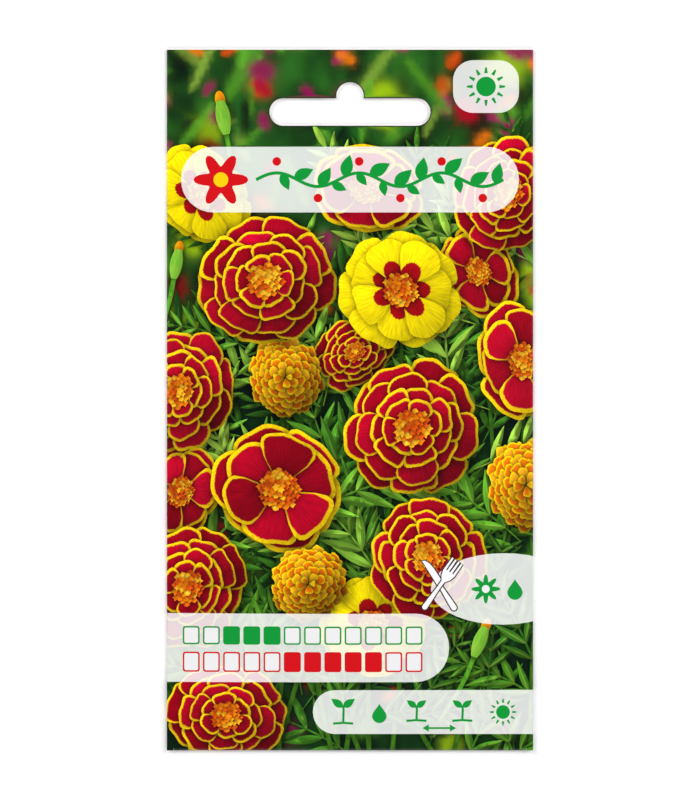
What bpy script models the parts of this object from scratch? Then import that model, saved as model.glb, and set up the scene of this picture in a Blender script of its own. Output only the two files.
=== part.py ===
"""A retail seed packet lying on its back, printed face up, with its hanging slot towards +Y.

The packet is one sheet of coated paper, folded and glued into a flat pouch. It holds a small sachet of
thinner paper, and the sachet holds a pinch of marigold seeds. The origin is on the table, under the middle
of the packet. Lengths are in metres.
"""

import math
import random

import bmesh
import bpy

MM = 0.001

# The outer size, and where the layers of paper meet
WIDTH = 80 * MM
HEIGHT = 153 * MM
PAPER = 0.16 * MM
FOLD_GAP = 0.10 * MM
PITCH = PAPER + FOLD_GAP
PIECE_GAP = 0.3 * MM

# The glued laps: two side flaps that overlap behind the front, and a bottom flap that folds up over them
LAP_REACH = 6 * MM
BOTTOM_FLAP = 14 * MM
BOTTOM_FLAP_INSET = 1.5 * MM
BOTTOM_FLAP_TAPER = 0.08
STEP_LENGTH = 6 * MM

# The pillow that the contents push up in the front
BULGE = 3.0 * MM
BULGE_FOOT = -HEIGHT / 2
BULGE_FULL_FROM = -45 * MM
BULGE_FULL_TO = 5 * MM
BULGE_HEAD = 44 * MM

# The hanging slot, a round-ended slot with a round bump on its upper side
SLOT_LENGTH = 35.2 * MM
SLOT_HEIGHT = 6 * MM
SLOT_TOTAL_HEIGHT = 9.5 * MM
SLOT_BUMP_RADIUS = 3 * MM
SLOT_FOOT_FROM_TOP = 16.6 * MM
SLOT_ARC_STEPS = 10

# The inner sachet, a sheet folded once along its left side and pressed shut on the other three
SACHET_PAPER = 0.15 * MM
SACHET_HALF_WIDTH = 26 * MM
SACHET_FOOT = -56 * MM
SACHET_HEAD = 16 * MM
SACHET_SEAL = 5 * MM
SACHET_CROWN = 1.72 * MM

# The seeds: long thin achenes, each with a tuft of bristles at one end
SEED_COUNT = 46
SEED_LENGTH = 9 * MM
SEED_RADIUS = 0.45 * MM
SEED_SIDES = 5
SEED_STAGGER = 0.3 * MM
SEED_CROSSING = 3 * MM
SEED_TRIES = 12
SEED_PATCH_HALF_WIDTH = 13 * MM
SEED_PATCH_HALF_LENGTH = 17 * MM
SEED_PATCH_MIDDLE = -22 * MM
SEED_RANDOM_START = 5

# How fine the folded sheets are
PANEL_CELL = 5 * MM
FOLD_STEPS = 4

COLLECTION_NAME = "seed_packet"
CUTTERS_NAME = "seed_packet_cutters"


def smoothstep(low, high, value):
    """0 below low, 1 above high, and a smooth rise between them."""
    share = min(1.0, max(0.0, (value - low) / (high - low)))
    return share * share * (3 - 2 * share)


def clear_scene():
    for old in list(bpy.data.objects):
        bpy.data.objects.remove(old)


def make_collection(name):
    made = bpy.data.collections.new(name)
    bpy.context.scene.collection.children.link(made)
    return made


def make_material(name, colour, roughness):
    made = bpy.data.materials.new(name)
    made.use_nodes = True
    shader = made.node_tree.nodes["Principled BSDF"]
    shader.inputs["Base Color"].default_value = (*colour, 1.0)
    shader.inputs["Roughness"].default_value = roughness
    shader.inputs["Metallic"].default_value = 0.0
    return made


def evenly(low, high, longest):
    """Places from low to high, both included, no further apart than longest."""
    steps = max(1, math.ceil((high - low) / longest - 1e-9))
    return [low + (high - low) * i / steps for i in range(steps + 1)]


def arc_lengths(start, radius):
    """Places along a half turn of paper of this radius, beyond its first."""
    return [start + math.pi * radius * i / FOLD_STEPS for i in range(1, FOLD_STEPS + 1)]


# The heights of the layers' middles, where the packet lies on the table

def back_rise(y):
    """How far the bottom flap lifts what lies on it. The paper steps down past the flap's edge."""
    flap_edge = -HEIGHT / 2 + BOTTOM_FLAP
    return PITCH * (1 - smoothstep(flap_edge, flap_edge + STEP_LENGTH, y))


def outer_flap_height(y):
    return PAPER / 2 + back_rise(y)


def inner_flap_height(x, y):
    """The left flap lies on the table too, and climbs onto the right flap where the two overlap."""
    return outer_flap_height(y) + PITCH * smoothstep(-LAP_REACH - STEP_LENGTH, -LAP_REACH, x)


def pillow(x, y):
    """0 at the packet's rim and 1 over its contents."""
    across = max(0.0, 1 - (x / (WIDTH / 2)) ** 2)
    along = smoothstep(BULGE_FOOT, BULGE_FULL_FROM, y) * (1 - smoothstep(BULGE_FULL_TO, BULGE_HEAD, y))
    return across * along


def front_height(x, y):
    return outer_flap_height(y) + 2 * PITCH + BULGE * pillow(x, y)


# The folds, as half turns between the front and what lies behind it

SIDE_RADIUS = PITCH
SIDE_CREASE = WIDTH / 2 - PAPER / 2 - SIDE_RADIUS
BOTTOM_RADIUS = 1.5 * PITCH
BOTTOM_CREASE = -HEIGHT / 2 + PAPER / 2 + BOTTOM_RADIUS


def folded(u, v):
    """Where a point of the flat sheet lies once the packet is folded. u runs across and v up the sheet."""
    if abs(u) > SIDE_CREASE:
        return side_folded(abs(u) - SIDE_CREASE, v, math.copysign(1, u))
    if v < BOTTOM_CREASE:
        return bottom_folded(u, BOTTOM_CREASE - v)
    return u, v, front_height(u, v)


def side_folded(past, v, side):
    turn = past / SIDE_RADIUS
    if turn >= math.pi:
        x = side * (SIDE_CREASE - past + math.pi * SIDE_RADIUS)
        return x, v, outer_flap_height(v) if side > 0 else inner_flap_height(x, v)
    # The half turn hangs from the front's edge, which the pillow leaves a little proud of the fold.
    lean = front_height(SIDE_CREASE, v) - outer_flap_height(v) - 2 * SIDE_RADIUS
    height = outer_flap_height(v) + SIDE_RADIUS * (1 + math.cos(turn)) + lean * (1 - turn / math.pi)
    return side * (SIDE_CREASE + SIDE_RADIUS * math.sin(turn)), v, height


def bottom_folded(u, past):
    turn = past / BOTTOM_RADIUS
    if turn >= math.pi:
        beyond = past - math.pi * BOTTOM_RADIUS
        taper = 1 - BOTTOM_FLAP_TAPER * beyond / BOTTOM_FLAP
        return u * taper, BOTTOM_CREASE + beyond, PAPER / 2
    lean = front_height(u, BOTTOM_CREASE) - PAPER / 2 - 2 * BOTTOM_RADIUS
    height = PAPER / 2 + BOTTOM_RADIUS * (1 + math.cos(turn)) + lean * (1 - turn / math.pi)
    return u, BOTTOM_CREASE - BOTTOM_RADIUS * math.sin(turn), height


def ruled_sheet(name, u_lines, v_lines, place, keep=lambda u, v: True):
    """A grid whose lines are moved to u_lines and v_lines, less the cells outside the blank, then folded."""
    columns, rows = len(u_lines) - 1, len(v_lines) - 1
    sheet = bmesh.new()
    bmesh.ops.create_grid(sheet, x_segments=columns, y_segments=rows, size=0.5)
    for vert in sheet.verts:
        column = round((vert.co.x + 0.5) * columns)
        row = round((vert.co.y + 0.5) * rows)
        vert.co = (u_lines[column], v_lines[row], 0)
    outside = [face for face in sheet.faces if not keep(*face.calc_center_median().xy)]
    bmesh.ops.delete(sheet, geom=outside, context="FACES")
    for vert in sheet.verts:
        vert.co = place(vert.co.x, vert.co.y)
    mesh = bpy.data.meshes.new(name)
    sheet.to_mesh(mesh)
    sheet.free()
    mesh.shade_smooth()
    return bpy.data.objects.new(name, mesh)


def thicken(sheet, thickness):
    solid = sheet.modifiers.new("paper thickness", "SOLIDIFY")
    solid.thickness = thickness
    solid.offset = 0


def make_packet_sheet():
    """The outer sheet: the front, two side flaps that lap behind it and the bottom flap."""
    side_turn = arc_lengths(SIDE_CREASE, SIDE_RADIUS)
    right_flap = evenly(side_turn[-1], side_turn[-1] + SIDE_CREASE + LAP_REACH, LAP_REACH)
    right_side = side_turn[:-1] + right_flap
    left_side = [-place for place in reversed(right_side)]
    flap_side = WIDTH / 2 - BOTTOM_FLAP_INSET
    front = [-SIDE_CREASE] + evenly(-flap_side, flap_side, PANEL_CELL) + [SIDE_CREASE]
    u_lines = left_side + front + right_side
    bottom_turn = [2 * BOTTOM_CREASE - place for place in arc_lengths(BOTTOM_CREASE, BOTTOM_RADIUS)]
    v_lines = (
        evenly(bottom_turn[-1] - BOTTOM_FLAP, bottom_turn[-1], BOTTOM_FLAP / 2)
        + bottom_turn[-2::-1]
        + evenly(BOTTOM_CREASE, HEIGHT / 2, PANEL_CELL)
    )

    def in_blank(u, v):
        return v > BOTTOM_CREASE or abs(u) < flap_side

    sheet = ruled_sheet("packet_sheet", u_lines, v_lines, folded, in_blank)
    thicken(sheet, PAPER)
    return sheet


def slot_outline():
    """The slot's outline, counter-clockwise from the right end of its foot. The slot's foot is at y = 0."""
    end_radius = SLOT_HEIGHT / 2
    end_middle = SLOT_LENGTH / 2 - end_radius
    bump_middle = SLOT_TOTAL_HEIGHT - SLOT_BUMP_RADIUS
    # The bump's circle meets the slot's upper side at this angle below its own middle.
    dip = math.asin((bump_middle - SLOT_HEIGHT) / SLOT_BUMP_RADIUS)

    def arc(middle_x, middle_y, radius, start, end):
        turns = (start + (end - start) * i / SLOT_ARC_STEPS for i in range(SLOT_ARC_STEPS + 1))
        return [(middle_x + radius * math.cos(a), middle_y + radius * math.sin(a)) for a in turns]

    return (
        arc(end_middle, end_radius, end_radius, -math.pi / 2, math.pi / 2)
        + arc(0, bump_middle, SLOT_BUMP_RADIUS, -dip, math.pi + dip)
        + arc(-end_middle, end_radius, end_radius, math.pi / 2, 3 * math.pi / 2)
    )


def make_slot_punch():
    """The punch that cuts the slot through every layer of the packet's head."""
    foot = HEIGHT / 2 - SLOT_FOOT_FROM_TOP
    outline = [(x, foot + y) for x, y in slot_outline()]
    curve = bpy.data.curves.new("slot_punch_outline", "CURVE")
    curve.dimensions = "2D"
    curve.fill_mode = "BOTH"
    curve.extrude = 3 * MM
    spline = curve.splines.new("POLY")
    spline.points.add(len(outline) - 1)
    for point, (x, y) in zip(spline.points, outline, strict=True):
        point.co = (x, y, 0, 1)
    spline.use_cyclic_u = True
    shape = bpy.data.objects.new("slot_punch_outline", curve)
    bpy.context.scene.collection.objects.link(shape)
    bpy.context.view_layer.update()
    mesh = bpy.data.meshes.new_from_object(shape.evaluated_get(bpy.context.evaluated_depsgraph_get()))
    bpy.data.objects.remove(shape)
    welded = bmesh.new()
    welded.from_mesh(mesh)
    bmesh.ops.remove_doubles(welded, verts=welded.verts, dist=0.001 * MM)
    bmesh.ops.recalc_face_normals(welded, faces=welded.faces)
    welded.to_mesh(mesh)
    welded.free()
    punch = bpy.data.objects.new("slot_punch", mesh)
    punch.hide_render = True
    punch.display_type = "WIRE"
    return punch


def punch_slot(sheet, punch):
    cut = sheet.modifiers.new("hanging slot", "BOOLEAN")
    cut.operation = "DIFFERENCE"
    cut.object = punch
    cut.solver = "EXACT"


# The sachet's lower leaf lies on the packet's back, and its upper leaf arches over the seeds

SACHET_PITCH = SACHET_PAPER + FOLD_GAP
SACHET_RADIUS = SACHET_PITCH / 2
SACHET_CREASE = -SACHET_HALF_WIDTH + SACHET_PAPER / 2 + SACHET_RADIUS
LOWER_LEAF = PAPER + PITCH + PIECE_GAP + SACHET_PAPER / 2


def sachet_crown(x, y):
    """How far the upper leaf rises over the seeds: 0 along the pressed edges, 1 in the middle."""
    inside = SACHET_HALF_WIDTH - SACHET_SEAL
    side_rise = SACHET_HALF_WIDTH - SEED_PATCH_HALF_WIDTH - SACHET_SEAL
    across = smoothstep(0, side_rise, inside - abs(x))
    foot, head = SACHET_FOOT + SACHET_SEAL, SACHET_HEAD - SACHET_SEAL
    along = smoothstep(foot, foot + 10 * MM, y) * (1 - smoothstep(head - 11 * MM, head, y))
    return across * along


def sachet_folded(u, v):
    """u runs from the lower leaf's free edge, round the fold on the left, to the upper leaf's free edge."""
    if u >= 0:
        x = SACHET_CREASE + u
        return x, v, LOWER_LEAF + SACHET_PITCH + SACHET_CROWN * sachet_crown(x, v)
    turn = -u / SACHET_RADIUS
    if turn >= math.pi:
        return SACHET_CREASE - u - math.pi * SACHET_RADIUS, v, LOWER_LEAF
    height = LOWER_LEAF + SACHET_RADIUS * (1 + math.cos(turn))
    return SACHET_CREASE - SACHET_RADIUS * math.sin(turn), v, height


def make_seed_sachet():
    leaf_width = SACHET_HALF_WIDTH - SACHET_CREASE
    fold = math.pi * SACHET_RADIUS
    turn = [-place for place in arc_lengths(0, SACHET_RADIUS)]
    u_lines = (
        evenly(-fold - leaf_width, -fold, PANEL_CELL)
        + turn[-2::-1]
        + evenly(0, leaf_width, PANEL_CELL)
    )
    v_lines = evenly(SACHET_FOOT, SACHET_HEAD, PANEL_CELL)
    sachet = ruled_sheet("seed_sachet", u_lines, v_lines, sachet_folded)
    thicken(sachet, SACHET_PAPER)
    return sachet


SEED_HEIGHT = LOWER_LEAF + SACHET_PAPER / 2 + PIECE_GAP + SEED_RADIUS


def make_seed(name, place, height):
    """One achene: a five-sided spindle with its widest part nearer the bristles, which flare at its end."""
    x, y, heading = place
    stations = ((-0.5, 0.1), (-0.38, 0.55), (-0.05, 0.95), (0.18, 0.8), (0.3, 0.55), (0.5, 0.85))
    seed = bmesh.new()
    rings = []
    for along, share in stations:
        ring = bmesh.ops.create_circle(seed, segments=SEED_SIDES, radius=SEED_RADIUS * share)["verts"]
        for vert in ring:
            vert.co = (along * SEED_LENGTH, vert.co.x, vert.co.y)
        rings.append(set(ring))
    for pair in zip(rings, rings[1:]):
        both = set.union(*pair)
        bmesh.ops.bridge_loops(seed, edges=[edge for edge in seed.edges if both.issuperset(edge.verts)])
    bmesh.ops.holes_fill(seed, edges=[edge for edge in seed.edges if edge.is_boundary])
    bmesh.ops.recalc_face_normals(seed, faces=seed.faces)
    mesh = bpy.data.meshes.new(name)
    seed.to_mesh(mesh)
    seed.free()
    made = bpy.data.objects.new(name, mesh)
    made.location = (x, y, height)
    made.rotation_euler = (0, 0, heading)
    return made


def lay_across(place, chance):
    """A place and heading for a seed that lies across the one at the given place."""
    x, y, heading = place
    crossing = chance.uniform(-SEED_CROSSING, SEED_CROSSING)
    own_crossing = chance.uniform(-SEED_CROSSING, SEED_CROSSING)
    own_heading = heading + chance.uniform(math.radians(35), math.radians(145))
    x += crossing * math.cos(heading) - own_crossing * math.cos(own_heading)
    y += crossing * math.sin(heading) - own_crossing * math.sin(own_heading)
    return x, y, own_heading


def seed_places():
    """Each seed lies across the nearest earlier one, as close as it comes to its spot in a spiral layout."""
    chance = random.Random(SEED_RANDOM_START)
    golden_turn = math.pi * (3 - math.sqrt(5))
    places = [(0, SEED_PATCH_MIDDLE, 0.6)]
    for i in range(1, SEED_COUNT):
        reach = math.sqrt(i / SEED_COUNT)
        spot = (
            reach * SEED_PATCH_HALF_WIDTH * math.cos(i * golden_turn),
            SEED_PATCH_MIDDLE + reach * SEED_PATCH_HALF_LENGTH * math.sin(i * golden_turn),
        )

        def away(place):
            return math.dist(place[:2], spot)

        nearest = min(places, key=away)
        places.append(min((lay_across(nearest, chance) for _ in range(SEED_TRIES)), key=away))
    return places


def make_seeds():
    """The seeds in one shallow pile, joined where they cross."""
    pile = make_collection("seeds_to_join")
    seeds = []
    for i, place in enumerate(seed_places()):
        seeds.append(make_seed(f"seed_{i}", place, SEED_HEIGHT + (i % 2) * SEED_STAGGER))
    first, others = seeds[0], seeds[1:]
    for seed in others:
        pile.objects.link(seed)
    first.name = "marigold_seeds"
    bpy.context.scene.collection.objects.link(first)
    join = first.modifiers.new("seeds lie across each other", "BOOLEAN")
    join.operation = "UNION"
    join.operand_type = "COLLECTION"
    join.collection = pile
    join.solver = "EXACT"
    bpy.context.view_layer.update()
    joined = bpy.data.meshes.new_from_object(first.evaluated_get(bpy.context.evaluated_depsgraph_get()))
    first.modifiers.clear()
    first.data = joined
    for seed in others:
        bpy.data.objects.remove(seed)
    bpy.data.collections.remove(pile)
    bpy.context.scene.collection.objects.unlink(first)
    return first


def main():
    clear_scene()
    packet = make_collection(COLLECTION_NAME)
    cutters = make_collection(CUTTERS_NAME)

    punch = make_slot_punch()
    cutters.objects.link(punch)
    sheet = make_packet_sheet()
    sheet.data.materials.append(make_material("coated paper", (0.42, 0.10, 0.07), 0.4))
    packet.objects.link(sheet)
    punch_slot(sheet, punch)

    sachet = make_seed_sachet()
    sachet.data.materials.append(make_material("glassine", (0.86, 0.83, 0.74), 0.35))
    packet.objects.link(sachet)

    seeds = make_seeds()
    seeds.data.materials.append(make_material("seed husk", (0.06, 0.05, 0.045), 0.6))
    packet.objects.link(seeds)


main()
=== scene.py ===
# %% [markdown]
# # A seed packet, photographed from straight above
#
# The object is a flat paper packet of flower seed, printed in full colour, with a hanging slot in its head.
# Its shape is simple and its face is busy, so most of this lesson is about a printed picture that is made
# without any image: every petal, leaf and pictogram is an outline, the outlines are cut into each other so
# that the topmost one shows, and a material fills them in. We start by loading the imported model, which sets
# the frame that every new piece has to fit.

# %% Load the frame
import math
import random

import bmesh
import bpy
import numpy as np
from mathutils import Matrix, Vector, noise
from mathutils.geometry import delaunay_2d_cdt


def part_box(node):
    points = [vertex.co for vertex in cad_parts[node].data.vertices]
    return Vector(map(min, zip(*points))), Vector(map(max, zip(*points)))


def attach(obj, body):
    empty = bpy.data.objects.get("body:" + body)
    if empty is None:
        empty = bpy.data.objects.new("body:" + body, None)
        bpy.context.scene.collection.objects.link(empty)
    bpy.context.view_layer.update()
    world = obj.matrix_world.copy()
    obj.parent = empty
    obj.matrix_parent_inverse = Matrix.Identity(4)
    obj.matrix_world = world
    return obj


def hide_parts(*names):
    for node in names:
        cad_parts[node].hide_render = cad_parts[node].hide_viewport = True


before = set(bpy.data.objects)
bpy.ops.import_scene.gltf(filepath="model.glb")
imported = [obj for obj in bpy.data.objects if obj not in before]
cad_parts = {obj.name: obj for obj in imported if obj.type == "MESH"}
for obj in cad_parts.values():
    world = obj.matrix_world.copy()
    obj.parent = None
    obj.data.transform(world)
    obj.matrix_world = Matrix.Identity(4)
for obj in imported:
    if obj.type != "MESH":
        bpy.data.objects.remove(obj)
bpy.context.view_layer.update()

MM = 0.001

# %% [markdown]
# ## How the sheet is folded
#
# The packet is one sheet. Two side flaps fold behind the front and lap over each other, and a bottom flap
# folds up over both. The driving sizes are those of the paper, and the rest follows from the packet's box.
# All artwork is drawn on the flat sheet in millimetres, u across and v up, and a function then lays each
# point of the sheet where the folds and the pillow of seed put it. Drawing flat and folding later is how
# the real packet is made, and it lets the print run round the folded edges.

# %% The paper's sizes, in millimetres
sheet_low, sheet_high = (np.array(corner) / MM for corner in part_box("packet_sheet"))
WIDTH, HEIGHT, THICK = sheet_high - sheet_low
PAPER = 0.16
PITCH = PAPER + 0.10
LAP_REACH = 6.0
BOTTOM_FLAP = 14.0
BOTTOM_FLAP_INSET = 1.5
BOTTOM_FLAP_TAPER = 0.08
SLIT = 0.05
STEP_LENGTH = 6.0
SIDE_CREASE = WIDTH / 2 - PAPER / 2 - PITCH
BOTTOM_RADIUS = 1.5 * PITCH
BOTTOM_CREASE = -HEIGHT / 2 + PAPER / 2 + BOTTOM_RADIUS
FLAP_SIDE = WIDTH / 2 - BOTTOM_FLAP_INSET
# The printed pillow stays a little lower than the CAD's, which leaves room for the paper's creases.
BULGE = THICK - PAPER - 2 * PITCH - 0.16
print("front panel", round(WIDTH, 2), "x", round(HEIGHT, 2), "mm, pillow", round(BULGE, 2), "mm")


# %% Heights of the layers and of the pillow
def smoothstep(low, high, value):
    share = np.clip((value - low) / (high - low), 0, 1)
    return share * share * (3 - 2 * share)


def back_rise(v):
    """How far the bottom flap lifts the layers that lie on it."""
    flap_edge = -HEIGHT / 2 + BOTTOM_FLAP
    return PITCH * (1 - smoothstep(flap_edge, flap_edge + STEP_LENGTH, v))


def pillow(u, v):
    """0 at the packet's rim and 1 over the sachet of seed."""
    across = np.maximum(0, 1 - (u / (WIDTH / 2)) ** 2)
    along = smoothstep(-HEIGHT / 2, -45, v) * (1 - smoothstep(5, 44, v))
    return across * along


def creases(u, v):
    """Soft shallow creases that a filled packet gets: puckers that run in from its long edges."""
    edge = np.clip(1 - (WIDTH / 2 - np.abs(u)) / 26, 0, 1)
    puckers = np.sin(v / 5.1 + 1.3 * np.sin(v / 13) + np.sign(u) * 0.8) * edge * (1 - edge) * 4
    drift = np.sin(u / 9 + v / 17) * np.sin(v / 11 - u / 23 + 1)
    return pillow(u, v) * (0.05 * puckers + 0.06 * drift)


def front_height(u, v):
    return PAPER / 2 + back_rise(v) + 2 * PITCH + BULGE * pillow(u, v) + creases(u, v)


# %% Fold the front, with the half turns at its sides and foot
def fold_front(u, v, lift):
    """Places the flat sheet's points. lift is how far a point is from the paper's middle, outwards."""
    x, y = u.copy(), v.copy()
    z = front_height(u, v) + lift

    past = np.maximum(0, np.abs(u) - SIDE_CREASE)
    turn = past / PITCH
    crease = np.full_like(u, SIDE_CREASE)
    lean = front_height(crease, v) - back_rise(v) - PAPER / 2 - 2 * PITCH
    beside = past > 0
    x_side = np.sign(u) * (SIDE_CREASE + (PITCH + lift) * np.sin(turn))
    z_side = PAPER / 2 + back_rise(v) + PITCH + (PITCH + lift) * np.cos(turn) + lean * (1 - turn / math.pi)
    x, z = np.where(beside, x_side, x), np.where(beside, z_side, z)

    # Beside the bottom flap, past a slit, the corner of the front runs straight down to the packet's foot.
    past = np.maximum(0, BOTTOM_CREASE - v)
    turn = past / BOTTOM_RADIUS
    lean = front_height(u, np.full_like(v, BOTTOM_CREASE)) - PAPER / 2 - 2 * BOTTOM_RADIUS
    below = (past > 0) & (np.abs(u) < FLAP_SIDE + SLIT / 2)
    y_foot = BOTTOM_CREASE - (BOTTOM_RADIUS + lift) * np.sin(turn)
    z_foot = PAPER / 2 + BOTTOM_RADIUS + (BOTTOM_RADIUS + lift) * np.cos(turn) + lean * (1 - turn / math.pi)
    y, z = np.where(below, y_foot, y), np.where(below, z_foot, z)
    return np.stack([x, y, z], 1) * MM


# %% [markdown]
# ## A picture made of outlines
#
# A printed picture could be an image file, or a stack of thin decals. We use neither. Each shape of the
# artwork is a closed outline with two inks and a rule that says where the first ink gives way to the second,
# such as a petal's gold rim. All outlines go together into one flat triangulation whose edges follow every
# outline, and each triangle then belongs to the topmost shape that covers it. That gives crisp edges at any
# distance, one thin sheet, and no decals that could flicker. The outlines are in millimetres on the sheet.

# %% Inks
def ink(code):
    """An sRGB hex colour as linear light, which is what the materials and the mixing below work in."""
    parts = np.array([int(code[i:i + 2], 16) for i in (0, 2, 4)]) / 255
    return np.where(parts <= 0.04045, parts / 12.92, ((parts + 0.055) / 1.055) ** 2.4)


CRIMSON, CRIMSON_DEEP, GOLD = ink("b00222"), ink("7c000e"), ink("fcd30a")
YELLOW, FLAME, ORANGE = ink("fee404"), ink("ac0812"), ink("f47c08")
AMBER, EMBER, BLAZE = ink("ffb01c"), ink("d8500a"), ink("ffe346")
LEAF_DARK, LEAF, LEAF_LIGHT = ink("206622"), ink("60b02a"), ink("b2de50")
SHADE, SHADE_LIGHT = ink("03150e"), ink("2a6a20")
MAGENTA, LIME = ink("ac0862"), ink("a8d010")
PRINT_GREEN, PRINT_RED = ink("109a3a"), ink("d8101a")
WHITE, CHARCOAL = ink("fdfcfd"), ink("3a3632")


# %% A shape of the artwork
class Shape:
    """A closed outline with its inks. paint says, for points on it, how far they are inside the first ink
    in millimetres, how light they are, and which way their grain runs. The border between the inks may have
    a guide, a line that the triangulation follows too. lift is how high the shape stands over its ground,
    and shadow how dark its shadow is."""

    def __init__(
        self, outline, first, second=None, paint=None, lift=0.0, guide=None, kind="picture", shadow=0.5,
    ):
        self.outline = np.asarray(outline, float)
        self.first = first
        self.second = first if second is None else second
        self.paint = paint or plain
        self.lift = lift
        self.guide = guide
        self.kind = kind
        self.shadow = shadow


def plain(points, rim):
    ones = np.ones(len(points))
    return ones, ones, np.zeros((len(points), 2))


def turned(points, angle):
    cos, sin = math.cos(angle), math.sin(angle)
    points = np.asarray(points, float)
    return np.stack([points[:, 0] * cos - points[:, 1] * sin, points[:, 0] * sin + points[:, 1] * cos], 1)


# The picture is lit from the upper left, as the blooms in a garden photograph would be.
LIGHT = np.array([-0.42, 0.50, 0.76])


def lit(slope_x, slope_y):
    """Brightness of a surface with these slopes, 1 where it is level."""
    normal = np.stack([-slope_x, -slope_y, np.ones_like(slope_x)], 1)
    normal /= np.linalg.norm(normal, axis=1, keepdims=True)
    return np.clip(normal @ LIGHT / LIGHT[2], 0.25, 1.5)


# %% [markdown]
# ## Petals and blooms
#
# A petal is a wedge with a broad, slightly notched tip. Its grain runs out from the bloom's middle, its rim
# or its base takes the second ink, and it arches, so its far end and its sides catch less light. A bloom is a
# few rings of petals, the lowest first, with a crest of small florets in the middle. Each bloom leans its own
# way, which flattens its ring into an oval.

# %% Petals
def polar(reach, angles):
    return np.stack([reach * np.cos(angles), reach * np.sin(angles)], -1)


def ellipse(middle, half_width, half_height, steps=36):
    t = np.arange(steps) / steps * 2 * math.pi
    return np.stack([middle[0] + half_width * np.cos(t), middle[1] + half_height * np.sin(t)], 1)


class Petal:
    """A wedge from a base, which the next ring hides, to a broad ruffled tip."""

    def __init__(self, length, half_angle, heading, ruffle, phase, base):
        self.length, self.half_angle, self.heading = length, half_angle, heading
        self.ruffle, self.phase, self.base = ruffle, phase, base

    def reach(self, t):
        waves = np.sin(4.2 * t + self.phase) + 0.6 * np.sin(9.1 * t - self.phase)
        return self.length * (1 - 0.06 * t**2 - 0.30 * np.abs(t) ** 7 + self.ruffle * waves)

    def outline(self, steps=17):
        t = np.linspace(-1, 1, steps)
        angles = self.heading + self.half_angle * t * (1 - 0.10 * np.abs(t) ** 9)
        foot = self.heading + self.half_angle * np.array([0.8, -0.8])
        return np.concatenate([polar(self.reach(t), angles), polar(self.base * self.length, foot)])

    def inner_line(self, width):
        """A line that keeps this far inside the tip and the sides."""
        t = np.linspace(-1, 1, 11)
        shoulder = [self.length * 0.62]
        reach = np.concatenate([shoulder, self.reach(t * 0.9)[1:-1] - width, shoulder])
        return polar(reach, self.heading + t * (self.half_angle - width * 0.8 / self.length))

    def flame_line(self, share):
        """A tongue that licks up the petal from its base."""
        t = np.linspace(-1, 1, 9)
        return polar(self.length * share * (1 - 0.55 * t**2), self.heading + self.half_angle * t)


def petal_paint(place, petal, pattern, tone, arch):
    """place maps the print's points back onto the bloom's own plane."""
    length, half_angle, heading = petal.length, petal.half_angle, petal.heading

    def paint(points, rim):
        local = place(points)
        along = np.hypot(*local.T) / length
        bearing = np.arctan2(local[:, 1], local[:, 0])
        across = (bearing - heading + math.pi) % (2 * math.pi) - math.pi
        across = np.clip(across / half_angle, -1.2, 1.2)
        radial = arch[0] - arch[1] * along
        lateral = -arch[2] * across - arch[3] * np.sin(5 * across) * smoothstep(0.4, 1, along)
        light = lit(
            radial * np.cos(bearing) - lateral * np.sin(bearing),
            radial * np.sin(bearing) + lateral * np.cos(bearing),
        )
        light = light * tone * (0.62 + 0.38 * smoothstep(0.15, 0.75, along))
        grain = np.stack([across * half_angle * length, along * length * 0.16 + heading * 7], 1)
        return pattern(along, across, rim), light, grain

    return paint


def gold_rim(width):
    """A gold edge, widest at the tip."""
    return lambda along, across, rim: rim - width * (0.25 + 0.75 * smoothstep(0.55, 0.95, along))


def flame(reach, length):
    """Yellow with a crimson flame that licks up from the petal's base."""
    return lambda along, across, rim: length * (along - reach * (1 - 0.55 * across**2))


# %% Blooms
class Lean:
    """A bloom's plane seen from in front: squeezed across the way it leans, then moved to its middle."""

    def __init__(self, middle, squeeze, toward):
        self.middle = np.array(middle, float)
        turn = np.array([[math.cos(toward), -math.sin(toward)], [math.sin(toward), math.cos(toward)]])
        self.matrix = turn @ np.diag([squeeze, 1.0]) @ turn.T
        self.inverse = np.linalg.inv(self.matrix)

    def out(self, points):
        return points @ self.matrix.T + self.middle

    def back(self, points):
        return (points - self.middle) @ self.inverse.T


def ring(lean, count, length, spread, base, rim_width, chance, arch, lift):
    """One ring of petals. Every other petal lies on top of its neighbours, as in a real bloom. The petals
    are crimson with a gold rim, or yellow with a flame where no rim is asked for."""
    start = chance.uniform(0, 2 * math.pi)
    shapes = []
    for i in [*range(0, count, 2), *range(1, count, 2)]:
        heading = start + 2 * math.pi * i / count + chance.uniform(-0.09, 0.09)
        reach = length * chance.uniform(0.92, 1.04)
        petal = Petal(reach, math.pi / count * spread, heading, 0.022, chance.uniform(0, 6), base)
        if rim_width:
            width = rim_width * chance.uniform(0.7, 1.35)
            pattern, guide = gold_rim(width), petal.inner_line(width)
            inks = (CRIMSON_DEEP + (CRIMSON - CRIMSON_DEEP) * chance.uniform(0.2, 1.5), GOLD)
        else:
            pattern, guide, inks = flame(0.60, reach), petal.flame_line(0.60), (YELLOW, FLAME)
        paint = petal_paint(lean.back, petal, pattern, chance.uniform(0.86, 1.12), arch)
        shapes.append(Shape(lean.out(petal.outline()), *inks, paint, lift, lean.out(guide)))
    return shapes


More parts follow.
